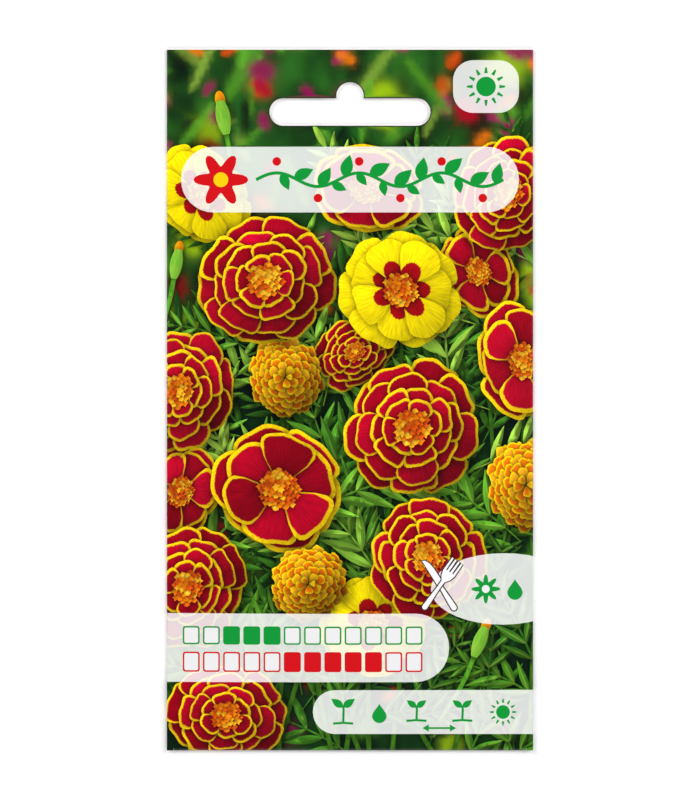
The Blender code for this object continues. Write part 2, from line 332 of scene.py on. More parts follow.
def crest(lean, radius, count, size, chance):
    """Florets on a golden-angle spiral, the outermost first so that the inner ones stand on them."""
    inks = ((ORANGE, AMBER), (AMBER, BLAZE), (EMBER, ORANGE))
    shapes = []
    for i in reversed(range(count)):
        reach = radius * math.sqrt((i + 0.5) / count)
        bearing = i * math.pi * (3 - math.sqrt(5))
        middle = np.array([reach * math.cos(bearing), reach * math.sin(bearing)])
        across = size * chance.uniform(0.8, 1.15)
        t = np.arange(10) / 10 * 2 * math.pi
        star = across * (1 + 0.28 * np.cos(5 * t + bearing))
        outline = lean.out(middle + np.stack([star * np.cos(t), star * np.sin(t)], 1))
        core = lean.out(middle[None])[0]

        def paint(points, rim, core=core, across=across, tone=chance.uniform(0.95, 1.3)):
            off = (points - core) / across
            light = lit(off[:, 0] * 0.5, off[:, 1] * 0.5) * tone
            return 0.42 * across - rim, light, off

        shapes.append(Shape(outline, *chance.choice(inks), paint, 0.12))
    return shapes


# %% The four kinds of bloom
def double_bloom(middle, radius, squeeze, toward, chance):
    """A ruffled double bloom: four rings of crimson petals edged with gold, round an orange crest."""
    lean = Lean(middle, squeeze, toward)
    shapes = []
    rings = ((1, 9, 1.5, 2.2), (0.81, 8, 1.45, 0.9), (0.62, 7, 1.4, 0.8), (0.44, 6, 1.35, 0.7))
    for share, count, spread, lift in rings:
        arch = (0.10 + 0.55 * (1 - share), 0.75, 0.26, 0.09)
        shapes += ring(lean, count, radius * share, spread, 0.5, 0.033 * radius, chance, arch, lift)
    return shapes + crest(lean, radius * 0.25, 38, radius * 0.055, chance)


def single_bloom(middle, radius, squeeze, toward, chance):
    """A single bloom: broad yellow petals with a crimson flame at the base, round a domed orange disc."""
    lean = Lean(middle, squeeze, toward)
    shapes = []
    for share, base, lift in ((1, 0.35, 2.2), (0.86, 0.2, 0.9)):
        shapes += ring(lean, 7, radius * share, 1.35, base, 0, chance, (0.34, 0.75, 0.22, 0.06), lift)
    return shapes + crest(lean, radius * 0.27, 50, radius * 0.052, chance)


def red_single(middle, radius, squeeze, toward, chance):
    """A single bloom with broad crimson petals in a wide gold rim."""
    lean = Lean(middle, squeeze, toward)
    shapes = []
    for share, base, lift in ((1, 0.35, 2.2), (0.88, 0.2, 0.9)):
        arch = (0.34, 0.75, 0.22, 0.07)
        shapes += ring(lean, 6, radius * share, 1.35, base, 0.055 * radius, chance, arch, lift)
    return shapes + crest(lean, radius * 0.30, 56, radius * 0.052, chance)


def pompon(middle, radius, squeeze, toward, chance):
    """A pompon: short orange petals on a spiral, packed from the rim to the middle."""
    lean = Lean(middle, squeeze, toward)
    shapes = []
    count = 72
    for i in reversed(range(count)):
        share = math.sqrt((i + 0.5) / count)
        bearing = i * math.pi * (3 - math.sqrt(5))
        length = radius * (0.09 + 0.91 * share)
        petal = Petal(length, 0.27 / (0.34 + 0.66 * share), bearing, 0.03, chance.uniform(0, 6), 0.55 * share)
        arch = (0.75 - 0.75 * share, 0.9, 0.35, 0.1)
        tone = chance.uniform(0.85, 1.1) * (0.72 + 0.34 * share)
        paint = petal_paint(lean.back, petal, gold_rim(0.03 * radius), tone, arch)
        first = ORANGE if i % 3 else AMBER
        shapes.append(Shape(lean.out(petal.outline(9)), first, GOLD, paint, 2.0 if i > 58 else 0.5))
    return shapes


# %% [markdown]
# ## Leaves, stems and buds
#
# The foliage is feathery: a leaf is a thin midrib with pairs of narrow leaflets. Each leaflet's second ink is
# its pale vein. Far leaves are drawn first, in inks close to the background's, so that they sink back.

# %% Leaves and stems
LEAF_SHADOW = 0.36
FAR_LIFT, NEAR_LIFT = 0.3, 0.9


def ribbon(route, *widths):
    """The outline of a stem that follows a route, with its widths spread along it."""
    route = np.asarray(route, float)
    way = np.gradient(route, axis=0)
    side = np.stack([-way[:, 1], way[:, 0]], 1) / np.linalg.norm(way, axis=1, keepdims=True)
    half = np.interp(np.linspace(0, 1, len(route)), np.linspace(0, 1, len(widths)), widths)[:, None] / 2
    return np.concatenate([route + side * half, (route - side * half)[::-1]])


def stem_paint(points, rim):
    return np.ones(len(points)), 0.62 + 0.6 * np.clip(rim / 0.5, 0, 1), points * [1, 0.2]


def leaflet(root, heading, length, width, inks, tone, lift):
    """A narrow leaflet with a pale vein."""
    t = np.array([0.1, 0.3, 0.5, 0.7, 0.87])
    half = width / 2 * np.sin(math.pi * t**0.8)
    right = np.stack([t * length, -half], 1)
    left = np.stack([t * length, half], 1)[::-1]
    outline = np.concatenate([[[0, 0]], right, [[length, 0]], left])
    root = np.array(root, float)

    def paint(points, rim):
        local = turned(points - root, -heading)
        along, off = local[:, 0] / length, local[:, 1]
        slope = -0.75 * np.sign(off) + 0.35 * along
        light = lit(-math.sin(heading) * slope, math.cos(heading) * slope) * tone
        vein = np.abs(off) - 0.2 * (1.15 - along)
        return vein, light * (0.8 + 0.35 * along), np.stack([off * 3, along + heading * 5], 1)

    # Only near leaves are drawn with a line for their vein, because each line costs triangles.
    vein_line = np.array([[0.04 * length, 0], [0.5 * length, 0], [0.9 * length, 0]])
    guide = turned(vein_line, heading) + root if lift > FAR_LIFT else None
    return Shape(turned(outline, heading) + root, *inks, paint, lift, guide, shadow=LEAF_SHADOW)


def frond(root, heading, length, pairs, inks, chance, lift, tone):
    """A feathery leaf: a bent midrib with leaflets in pairs and one at its tip."""
    bend = chance.uniform(-0.5, 0.5)
    share = np.linspace(0, 1, 8)
    steps = polar(np.full(8, length / 7), heading + bend * share)
    route = np.array(root) + np.concatenate([[[0, 0]], np.cumsum(steps[:-1], axis=0)])
    shapes = [Shape(ribbon(route, 0.1, 0.5, 0.5, 0.4, 0.25), inks[0] * 1.15, None, stem_paint, lift)]
    for i in range(pairs):
        place = (i + 1) / (pairs + 0.5)
        spot = [np.interp(place, share, route[:, k]) for k in (0, 1)]
        size = length * 0.42 * math.sin(math.pi * (0.25 + 0.60 * place))
        for side in (-1, 1):
            turn = heading + bend * place + side * chance.uniform(0.5, 0.85)
            shapes.append(leaflet(spot, turn, size, size * 0.21, inks, tone * chance.uniform(0.6, 1.4), lift))
    shapes.append(leaflet(route[-1], heading + bend, length * 0.3, length * 0.065, inks, tone, lift))
    return shapes


def bud(root, heading, length):
    """A closed bud: a ribbed green cup on its stalk, with the petals' tips just showing."""
    root = np.array(root, float)
    t = np.linspace(0, 1, 11)
    half = length * 0.21 * np.sin(math.pi * (0.10 + 0.78 * t)) ** 0.7
    cup = np.concatenate([np.stack([t * length, -half], 1), np.stack([t * length, half], 1)[::-1]])
    tip = ellipse((length * 1.03, 0), length * 0.26, length * 0.15, 16)
    stalk = root + turned([[-16, 1.9], [-12, 1.1], [-8, 0.4], [-4, 0], [0.5, 0]], heading)

    def paint(points, rim):
        local = turned(points - root, -heading) / length
        slope = 2.2 * local[:, 1]
        roundness = lit(-math.sin(heading) * -slope, math.cos(heading) * -slope)
        # The ribs are streaks along the bud, where the noise lets the second ink through.
        return np.full(len(points), 0.04), roundness, local * [1.2, 12]

    return [
        Shape(ribbon(stalk, 0.8, 1.1), LEAF, None, stem_paint, 0.7),
        Shape(turned(tip, heading) + root, ORANGE, GOLD, paint, 0.6),
        Shape(turned(cup, heading) + root, LEAF, LEAF_LIGHT, paint, 0.9),
    ]


# %% [markdown]
# ## The cover picture
#
# Blooms of four kinds crowd the lower two thirds over a bed of leaves, and the head of the packet is a
# dark, out-of-focus garden. The blooms' places are listed one by one, and the leaves are
# scattered from a seeded draw, so every run gives the same picture. A shape that a bloom hides whole is
# dropped, because its outline would only cost triangles.

# %% Far and near leaves, stems and blooms
chance = random.Random(11)
picture = []


def greens(darkest, brightest):
    """A leaf's ink and its vein's, somewhere between dark and bright."""
    share = chance.uniform(darkest, brightest)
    low, high = (LEAF_DARK, LEAF) if share < 0.5 else (LEAF, LEAF_LIGHT)
    leaf_ink = low + (high - low) * (share * 2 % 1)
    return leaf_ink, leaf_ink * 0.5 + LEAF_LIGHT * 0.5


blooms = (
    (red_single, (28, 28), 10.5, 0.78, 0.5),
    (double_bloom, (1, 10.5), 9.5, 0.8, 2.2),
    (red_single, (-37, -20), 11.0, 0.8, 2.8),
    (double_bloom, (34.5, 45), 13.5, 0.86, 2.6),
    (single_bloom, (-32.5, 45), 12.0, 0.82, 0.7),
    (red_single, (3.5, 46), 12.5, 0.8, 1.3),
    (red_single, (38, 8.5), 13.0, 0.84, 0.3),
    (double_bloom, (-37.5, 2), 14.0, 0.85, 2.9),
    (pompon, (-14, 5), 9.2, 0.93, 0.5),
    (single_bloom, (5, -49), 12.5, 0.9, 1.9),
    (pompon, (38.5, -18.5), 10.5, 0.88, 0.2),
    (double_bloom, (-18.5, 26), 15.2, 0.93, 1.9),
    (single_bloom, (11, 24), 13.6, 0.94, 0.9),
    (double_bloom, (13.5, -6), 15.4, 0.95, 2.5),
    (red_single, (-15.5, -19.5), 14.8, 0.93, 1.0),
    (double_bloom, (17, -34.5), 14.0, 0.90, 0.4),
    (double_bloom, (-35.5, -41), 14.0, 0.9, 2.7),
    (pompon, (-9, -40), 9.0, 0.95, 2.0),
    (double_bloom, (-27, -69), 13.0, 0.9, 1.5),
)
for _ in range(76):
    root = (chance.uniform(-42, 42), chance.uniform(-80, 46))
    heading, length = chance.uniform(0.3, 2.8), chance.uniform(15, 24)
    picture += frond(root, heading, length, 5, greens(0.0, 0.4), chance, FAR_LIFT, 0.65)
for _, (x, y), *_ in blooms:
    # Each bloom's stem runs down behind the others, in the shade of the leaves, and out of the picture.
    share = np.linspace(0, 1, 14)
    sway = chance.uniform(-20, 20)
    route = np.stack([x + sway * share**1.5 + 1.2 * np.sin(5 * share), y - (82 + y) * share], 1)
    picture.append(Shape(ribbon(route, 0.7, 1.1), LEAF * 0.4, None, stem_paint, 0.7))
for _ in range(88):
    root = (chance.uniform(-42, 42), chance.uniform(-82, 36))
    # The bed of leaves lies in deeper shade towards the foot.
    daylight = float(smoothstep(-75, -15, root[1]))
    heading, length = chance.uniform(0.2, 2.9), chance.uniform(15, 25)
    inks = greens(0.25 * daylight, 0.4 + 0.6 * daylight)
    picture += frond(root, heading, length, 5, inks, chance, NEAR_LIFT, 0.6 + 0.52 * daylight)
# The corner at the lower right gets a few more, listed one by one, where the draw left it thin.
corner_leaves = (((36, -78), 1.95), ((25, -80), 1.2), ((42, -66), 2.5), ((30, -62), 1.5), ((41, -60), 1.9))
for root, heading in corner_leaves:
    picture += frond(root, heading, 20, 5, greens(0.0, 0.45), chance, NEAR_LIFT, 0.7)
for place, heading, length in (((-27, 58), 1.75, 7.5), ((27, -56), 1.2, 7), ((-38.5, 26.5), 1.4, 6.5)):
    picture += bud(place, heading, length)
for grow, middle, radius, squeeze, toward in blooms:
    hidden_in = Lean(middle, squeeze, toward)
    picture = [s for s in picture if np.hypot(*hidden_in.back(s.outline).T).max() > 0.8 * radius]
    picture += grow(middle, radius, squeeze, toward, chance)
print(len(picture), "shapes in the cover picture,", len(blooms), "blooms")

# %% [markdown]
# ## The out-of-focus background
#
# A lens turns far leaves and flowers into soft discs and strokes. The background's ink is therefore a smooth
# function of place: greens that drift with a noise, then strokes and discs with soft edges, which lie
# thickest in the packet's head.

# %% Background ink
blur_chance = random.Random(4)


def blur_height():
    return blur_chance.choice((1, 1, 1, -1)) * blur_chance.uniform(16, 78)


def blurred(count, length, widths, lean, colours, strengths):
    """Soft strokes, or discs where their length is next to nothing."""
    for _ in range(count):
        start = np.array([blur_chance.uniform(-44, 44), blur_height()])
        heading = math.pi / 2 + blur_chance.uniform(-lean, lean)
        end = start + (0.01 + blur_chance.uniform(0.6, 1) * length) * polar(1, heading)
        colour, width = blur_chance.choice(colours), blur_chance.uniform(*widths)
        soft_strokes.append((start, end, width, colour, blur_chance.uniform(*strengths)))


soft_strokes = []
blurred(36, 4, (2, 5), 3, (SHADE, SHADE * 0.5, LEAF_DARK * 0.4), (0.6, 0.95))
blurred(30, 2, (2, 4.5), 3, (LIME, LIME * 0.8, LEAF, LIME * 0.6), (0.5, 0.9))
blurred(60, 13, (0.7, 1.6), 0.9, (LEAF, LEAF_DARK, LEAF * 0.7, LEAF_LIGHT * 0.6, LEAF_DARK * 0.7), (0.5, 0.9))
blurred(90, 3, (0.7, 1.6), 1.2, (MAGENTA, MAGENTA * 0.8, CRIMSON, MAGENTA, EMBER, ORANGE), (0.7, 0.95))
blurred(20, 2.5, (1.6, 3.2), 3, (CRIMSON, CRIMSON_DEEP, MAGENTA * 0.7, ORANGE), (0.7, 0.95))
blurred(50, 14, (0.4, 1.1), 0.7, (LEAF, LEAF_LIGHT * 0.7, LEAF * 0.6, LEAF_DARK), (0.5, 0.9))


def background_ink(points):
    drift = np.array([noise.fractal((x / 13, y / 17, 3.1), 1.0, 2.0, 4) for x, y in points])
    # The ground lies in the shade of the leaves, except in the open head of the picture.
    open_air = 0.25 + 0.75 * smoothstep(10, 58, points[:, 1])
    mix = (np.clip(0.5 + 1.1 * drift, 0, 1) * open_air)[:, None]
    colours = SHADE + (SHADE_LIGHT - SHADE) * mix
    for start, end, width, colour, strength in soft_strokes:
        way = end - start
        share = np.clip((points - start) @ way / (way @ way), 0, 1)
        away = np.hypot(*(points - start - share[:, None] * way).T)
        half = width * (0.3 + 0.7 * np.sin(math.pi * (0.2 + 0.6 * share)))
        cover = (strength / (1 + (away / half) ** 5))[:, None]
        colours = colours * (1 - cover) + colour * cover
    return colours


# %% [markdown]
# ## Panels and pictograms
#
# Pale see-through panels lie over the picture: a badge, a band under the slot, an oval and two strips that
# run off the edges. They hold plain pictograms of the kind that any seed packet may use: a sun, a garland, a
# calendar of twelve months, crossed cutlery for flowers that can be eaten, and signs for sowing, watering
# and spacing.

# %% Panel outlines
def arc(middle, radius, start, end, steps=8):
    return polar(radius, np.radians(np.linspace(start, end, steps + 1))) + np.array(middle)


def rounded(low, high, radius, corners="abcd", steps=8):
    """A rectangle with round corners: a and b are the upper right and left, c and d the lower left and
    right."""
    (x0, y0), (x1, y1) = low, high
    spots = {"a": (x1, y1, 0), "b": (x0, y1, 90), "c": (x0, y0, 180), "d": (x1, y0, 270)}
    parts = []
    for name, (x, y, start) in spots.items():
        if name in corners:
            inner_x = x - math.copysign(radius, x - (x0 + x1) / 2)
            inner_y = y - math.copysign(radius, y - (y0 + y1) / 2)
            parts.append(arc((inner_x, inner_y), radius, start, start + 90, steps))
        else:
            parts.append([[x, y]])
    return np.concatenate(parts)


BLEED = 2.0
EDGE = WIDTH / 2 + BLEED
panels = [
    Shape(outline, WHITE, kind="panel")
    for outline in (
        rounded((22.5, 62.7), (36.9, 74.2), 4.4),
        rounded((-36.9, 40.95), (36.9, 55.3), 7.1),
        ellipse((33.5, -41.2), 15.9, 7.8),
        rounded((-EDGE, -61.5), (21.6, -46.5), 7.4, "ad"),
        rounded((-8.1, -72.9), (EDGE, -63.25), 4.8, "bc"),
    )
]


# %% Pictograms
def stamp(outline, colour):
    return Shape(outline, colour, kind="sign")


def line(points, width, colour=PRINT_GREEN):
    return stamp(ribbon(points, width, width), colour)


def leaf_sign(root, heading, length, colour=PRINT_GREEN, fat=0.24):
    t = np.linspace(0, 1, 9)
    half = length * fat * np.sin(math.pi * t**0.8)
    outline = np.concatenate([np.stack([t * length, -half], 1), np.stack([t * length, half], 1)[-2:0:-1]])
    return stamp(turned(outline, heading) + np.array(root), colour)


def sun_sign(middle, radius, colour=PRINT_GREEN):
    shapes = [stamp(ellipse(middle, radius, radius, 28), colour)]
    for i in range(12):
        way = polar(radius, i * math.pi / 6)
        ray = [np.array(middle) + way * reach for reach in (1.35, 1.95)]
        shapes.append(stamp(ribbon(ray, 0.36 * radius, 0.17 * radius), colour))
    return shapes


def garland(start, end, waves, height, stem_colour=PRINT_GREEN, berry_colour=PRINT_RED):
    """A wavy stem with leaves on both sides, and small berries where it turns."""
    share = np.linspace(0, 1, 60)
    x = start[0] + (end[0] - start[0]) * share
    y = start[1] + height * np.sin(share * waves * 2 * math.pi)
    route = np.stack([x, y], 1)
    shapes = [line(route, 0.7, stem_colour)]
    turns = (np.arange(2 * waves) + 0.5) / (2 * waves)
    crowns = start[1] + (height + 2.5) * np.sin(turns * waves * 2 * math.pi)
    berries = np.stack([start[0] + (end[0] - start[0]) * turns, crowns], 1)
    for i in range(3, 58, 3):
        way = route[i + 1] - route[i]
        side = 1 if (i // 3) % 2 else -1
        heading, length = math.atan2(way[1], way[0]) + side * 0.9, 4.3 + 0.9 * math.sin(i)
        # A leaf that would reach a berry is left out.
        if np.hypot(*(route[i] + polar(length * 0.7, heading) - berries).T).min() > 2.3:
            shapes.append(leaf_sign(route[i], heading, length, stem_colour, 0.27))
    return shapes + [stamp(ellipse(spot, 0.95, 0.95, 18), berry_colour) for spot in berries]


def month_row(low, width, height, lit_months, colour, inside):
    """Twelve boxes for the months, those that count filled in."""
    pitch = width / 12
    shapes = []
    for month in range(12):
        x = low[0] + month * pitch
        far = (x + pitch * 0.84, low[1] + height)
        shapes.append(stamp(rounded((x, low[1]), far, 0.55, steps=3), colour))
        if month not in lit_months:
            near_corner, far_corner = (x + 0.35, low[1] + 0.35), (far[0] - 0.35, far[1] - 0.35)
            shapes.append(stamp(rounded(near_corner, far_corner, 0.3, steps=2), inside))
    return shapes


def handle(neck, end):
    """A tool's handle, from its neck on the left round its foot to its neck on the right."""
    return [(-neck, -0.6), *arc((0, -6.2), end, 180, 360), (neck, -0.6)]


def cutlery_sign(middle, size):
    """A knife and a fork, crossed, each white with a dark line round it."""
    blade = [(0.7, 0), (0.95, 1.4), (0.93, 4), (0.66, 5.8), (0.1, 6.9), (-0.5, 7.2), (-0.5, 0)]
    knife = [*handle(0.4, 0.66), *blade]
    head = [(0.42, 1.2), (1.2, 2.3), (1.55, 3.5), (1.5, 7.1)]
    slits = [(1.1, 7.1), (1.02, 3.9), (0.72, 3.9), (0.64, 7.1), (0.24, 7.1), (0.16, 3.9)]
    fork = [*handle(0.36, 0.62), *head, *slits, *(np.array(slits[::-1] + head[::-1]) * [-1, 1])]
    fork_edge = [*handle(0.36, 0.62), *head, *(np.array(head[::-1]) * [-1, 1])]
    shapes = []
    for tool, silhouette, lean in ((knife, knife, 0.56), (fork, fork_edge, -0.62)):
        silhouette = np.array(silhouette, float)
        spine = np.stack([np.zeros(len(silhouette)), np.clip(silhouette[:, 1], -6.2, 6.6)], 1)
        way = silhouette - spine
        edge = silhouette + 0.3 * way / np.maximum(np.linalg.norm(way, axis=1, keepdims=True), 0.1)
        for outline, colour in ((edge, CHARCOAL), (np.array(tool, float), WHITE)):
            shapes.append(stamp(turned(outline * size, lean) + np.array(middle), colour))
    return shapes


def blossom_sign(middle, radius, petals, colour, heart):
    """A plain open flower."""
    t = np.arange(60) / 60 * 2 * math.pi
    outline = polar(radius * (0.74 + 0.26 * np.cos(petals * t)), t) + np.array(middle)
    return [stamp(outline, colour), stamp(ellipse(middle, radius * 0.27, radius * 0.27, 20), heart)]


def sprout_sign(root, height, colour=PRINT_GREEN):
    x, y = root
    shapes = [line([(x - 2.2, y), (x, y + 0.15), (x + 2.2, y)], 0.5, colour)]
    shapes.append(line([(x, y), (x + 0.1, y + height * 0.5), (x, y + height * 0.7)], 0.5, colour))
    neck = (x, y + height * 0.62)
    for side in (-1, 1):
        shapes.append(leaf_sign(neck, math.pi / 2 - side * 0.95, height * 0.55, colour, 0.26))
    return shapes


def drop_sign(middle, size, colour=PRINT_GREEN):
    t = np.arange(24) / 24 * 2 * math.pi
    up = np.clip(np.sin(t), 0, 1)
    x = middle[0] + size * np.cos(t) * (1 - up**1.5 * 0.98)
    y = middle[1] + size * np.where(up > 0, 1.7, 1.0) * np.sin(t)
    return stamp(np.stack([x, y], 1), colour)


def arrow_sign(start, end, colour=PRINT_GREEN):
    """A line with a head at both ends, for a distance."""
    start, end = np.array(start, float), np.array(end, float)
    way = (end - start) / np.linalg.norm(end - start)
    side = np.array([-way[1], way[0]])
    shapes = [line([start + way, (start + end) / 2, end - way], 0.4, colour)]
    for tip, back in ((start, way), (end, -way)):
        barb = tip + back * 1.4
        shapes.append(stamp(np.array([tip, barb + side * 0.8, barb - side * 0.8]), colour))
    return shapes


PANEL_INSIDE = WHITE * 0.9
signs = sun_sign((29.7, 68.45), 2.15)
signs += blossom_sign((-28.2, 48.1), 6.0, 6, PRINT_RED, GOLD)
signs += garland((-20.5, 48.1), (33.5, 48.1), 3, 1.5)
signs += cutlery_sign((19.6, -40.4), 0.92)
signs += blossom_sign((29.6, -41.2), 3.2, 8, PRINT_GREEN, PANEL_INSIDE) + [drop_sign((36.0, -41.9), 1.7)]
signs += month_row((-36.5, -53.3), 53, 4.0, (2, 3, 4), PRINT_GREEN, PANEL_INSIDE)
signs += month_row((-36.5, -59.3), 53, 4.4, (5, 6, 7, 8, 9), PRINT_RED, PANEL_INSIDE)
signs += sprout_sign((-1.5, -70.6), 5.8) + [drop_sign((6.4, -68.9), 1.6)]
signs += sprout_sign((14.5, -70.0), 4.8) + sprout_sign((24.5, -70.0), 4.8)
signs += arrow_sign((15.8, -71.6), (23.2, -71.6)) + sun_sign((33.4, -68.1), 1.5)
print(len(signs), "pictogram shapes")

# %% [markdown]
# ## The hanging slot
#
# The slot is die-cut through every layer: a long round-ended slot with a round bump for a single hook. Its
# outline is drawn once, goes into the triangulation with the artwork, and the triangles inside it are
# dropped. A hairline of dark ink runs round it.

# %% Slot outline
SLOT_LENGTH, SLOT_HEIGHT, SLOT_TOTAL, BUMP_RADIUS = 35.2, 6.0, 9.5, 3.0
slot_foot = HEIGHT / 2 - 16.6


def slot_outline(grow):
    """The slot's outline, or one that is grown by this much all round."""
    end_middle, end_radius = SLOT_LENGTH / 2 - SLOT_HEIGHT / 2, SLOT_HEIGHT / 2 + grow
    bump_middle, bump_radius = SLOT_TOTAL - BUMP_RADIUS, BUMP_RADIUS + grow
    dip = math.degrees(math.asin((bump_middle - SLOT_HEIGHT - grow) / bump_radius))
    return np.concatenate(
        [
            arc((end_middle, slot_foot + SLOT_HEIGHT / 2), end_radius, -90, 90, 20),
            arc((0, slot_foot + bump_middle), bump_radius, -dip, 180 + dip, 24),
            arc((-end_middle, slot_foot + SLOT_HEIGHT / 2), end_radius, 90, 270, 20),
        ]
    )


slot = slot_outline(0)
hairline = stamp(slot_outline(0.22), CHARCOAL * 0.6)

# %% [markdown]
# ## The back's artwork
#
# The back is what a gardener reads at the seed bed. It is drawn as it is seen from behind, with s to that
# viewer's right and t up. It holds signs only: how deep to sow, how far apart, a chart of the twelve months,
# ruled lines for notes, and a green head band.

# %% Back print
FIELD, SOIL, BAND_GREEN = ink("f3f1e2"), ink("7a4a22"), ink("1f7a34")
RULE, PLANT_OUT = ink("9fb596"), ink("e59a1c")
back = [stamp(np.array([(-EDGE, 41.0), (EDGE, 41.0), (EDGE, 79.0), (-EDGE, 79.0)]), BAND_GREEN)]
back += [stamp(np.array([(-EDGE, 39.2), (EDGE, 39.2), (EDGE, 40.2), (-EDGE, 40.2)]), BAND_GREEN)]
back += garland((-30, 48.5), (30, 48.5), 3, 1.5, FIELD, GOLD)
for left in (-35.0, 3.0):
    back.append(stamp(rounded((left, 18), (left + 32, 33), 2.0), WHITE))
    back.append(stamp(rounded((left, 16), (left + 32, 24), 2.0), SOIL))
back += sprout_sign((-17, 24), 6.5) + [stamp(ellipse((-17, 20.2), 1.6, 0.6, 18), FIELD)]
back += arrow_sign((-25, 24), (-25, 19.8), FIELD)
back += sprout_sign((11, 24), 6.5) + sprout_sign((27, 24), 6.5) + arrow_sign((13, 20.2), (25, 20.2), FIELD)
month_rows = ((8.0, (1, 2), PRINT_GREEN), (1.5, (3, 4), PLANT_OUT), (-5.0, (5, 6, 7, 8, 9), PRINT_RED))
for foot, months, colour in month_rows:
    back += month_row((-23, foot), 58, 4.4, months, colour, FIELD)
back += [stamp(turned(ellipse((0, 0), 2.6, 0.7, 20), 0.5) + [-30, 10.2], CHARCOAL)]
back += sprout_sign((-30, 1.6), 4.6) + blossom_sign((-30, -2.8), 2.8, 8, PRINT_RED, GOLD)
for i in range(7):
    height = -14.0 - 5.6 * i
    back.append(stamp(np.array([(-35, height), (35, height), (35, height + 0.3), (-35, height + 0.3)]), RULE))
back += sun_sign((-22, -56), 2.0) + [drop_sign((0, -56.8), 2.0)] + [leaf_sign((19, -57.5), 0.6, 7)]
print(len(back), "shapes on the back")


def plain_ground(colour):
    return lambda points: np.tile(colour, (len(points), 1))


# %% [markdown]
# ## From outlines to a sheet of paper
#
# The triangulation takes every outline, the lines of the folds, and a lattice of loose points that keep the
# triangles small enough for soft shading. Each triangle asks which shapes cover its middle, and the last one
# drawn wins. Its corners then get what the material needs: two inks, how deep the corner lies in the first,
# its light, its grain, and how much of a pale panel covers it. Shapes that stand higher also throw a soft
# shadow on those below, which is what makes flat artwork look like layered petals.

# %% Geometry helpers for outlines
class Pigeonholes:
    """Finds the points in a box without asking every point."""

    def __init__(self, points, size=3.0):
        self.points, self.size, self.low = points, size, points.min(0)
        holes = ((points - self.low) // size).astype(int)
        self.last = holes.max(0)
        flat = holes[:, 0] * (self.last[1] + 1) + holes[:, 1]
        self.order = np.argsort(flat, kind="stable")
        self.starts = np.searchsorted(flat[self.order], np.arange((self.last + 1).prod() + 1))

    def near(self, outline, margin=0.0):
        low, high = outline.min(0) - margin, outline.max(0) + margin
        corners = np.array([low, high])
        (c0, r0), (c1, r1) = np.clip((corners - self.low) // self.size, 0, self.last).astype(int)
        column_starts = np.arange(c0, c1 + 1) * (self.last[1] + 1)
        found = [self.order[self.starts[c + r0]:self.starts[c + r1 + 1]] for c in column_starts]
        found = np.concatenate(found)
        return found[((self.points[found] >= low) & (self.points[found] <= high)).all(1)]


def covers(outline, points):
    """Which points lie inside the outline, by the even-odd rule."""
    (x0, y0), (x1, y1) = outline.T, np.roll(outline, -1, axis=0).T
    x, y = points[:, :1], points[:, 1:]
    spans = (y0 > y) != (y1 > y)
    slope = (x1 - x0) / np.where(y1 == y0, 1, y1 - y0)
    return (spans & (x < slope * (y - y0) + x0)).sum(1) % 2 == 1


def distance(outline, points):
    """How far each point is from the outline's edge."""
    way = np.roll(outline, -1, axis=0) - outline
    off = points[:, None] - outline
    share = np.clip((off * way).sum(2) / np.maximum((way * way).sum(1), 1e-12), 0, 1)
    return np.sqrt(((off - share[..., None] * way) ** 2).sum(2).min(1))


class Drawing:
    """Points and edges, gathered for one flat triangulation."""

    def __init__(self):
        self.points, self.edges = [], []

    def add_route(self, route, closed=True):
        first, count = len(self.points), len(route)
        self.points.extend(route)
        self.edges.extend((first + i, first + (i + 1) % count) for i in range(count if closed else count - 1))

    def triangulate(self, merge=0.012):
        made = delaunay_2d_cdt([Vector(p) for p in self.points], self.edges, [], 0, merge, False)
        return np.array([tuple(p) for p in made[0]]), np.array([f for f in made[2] if len(f) == 3])


def visible_borders(points, triangles, label):
    """The edges between triangles with different labels. Points along a straight run are left out."""
    sides = np.sort(triangles[:, [0, 1, 1, 2, 2, 0]].reshape(-1, 2), axis=1)
    whose = np.repeat(label, 3)
    order = np.lexsort(sides.T)
    sides, whose = sides[order], whose[order]
    border = np.flatnonzero((sides[1:] == sides[:-1]).all(1) & (whose[1:] != whose[:-1]))
    joined = {}
    for start, end in sides[border].tolist():
        joined.setdefault(start, set()).add(end)
        joined.setdefault(end, set()).add(start)
    for spot in list(joined):
        if len(joined[spot]) == 2:
            start, end = joined[spot]
            (ax, ay), (bx, by) = points[start] - points[spot], points[end] - points[spot]
            if abs(ax * by - ay * bx) < STRAIGHT * math.hypot(bx - ax, by - ay) and ax * bx + ay * by < 0:
                for other, far in ((start, end), (end, start)):
                    joined[other].discard(spot)
                    joined[other].add(far)
                del joined[spot]
    return [(points[start], points[end]) for start in joined for end in joined[start] if start < end]


# %% [markdown]
# The outlines cross each other thousands of times under the topmost shapes, where nobody sees them. So the
# triangulation is made twice: a first rough one finds which borders show, and the second follows only those,
# with the petals' inner lines and the loose points. That takes away more than half of the triangles.

# %% Who is on top, and which lines show
STRAIGHT = 0.004


def topmost(points, triangles, shapes):
    """For each triangle the number of its topmost shape, or -1, and 1 where a pale panel covers it."""
    middles = points[triangles].mean(1)
    finder = Pigeonholes(middles)
    top = np.full(len(triangles), -1)
    veil = np.zeros(len(triangles))
    for number, shape in enumerate(shapes):
        spots = finder.near(shape.outline)
        spots = spots[covers(shape.outline, middles[spots])]
        if shape.kind == "panel":
            veil[spots] = 1
        else:
            top[spots] = number
        if shape.kind == "sign":
            veil[spots] = 0
    return top, veil


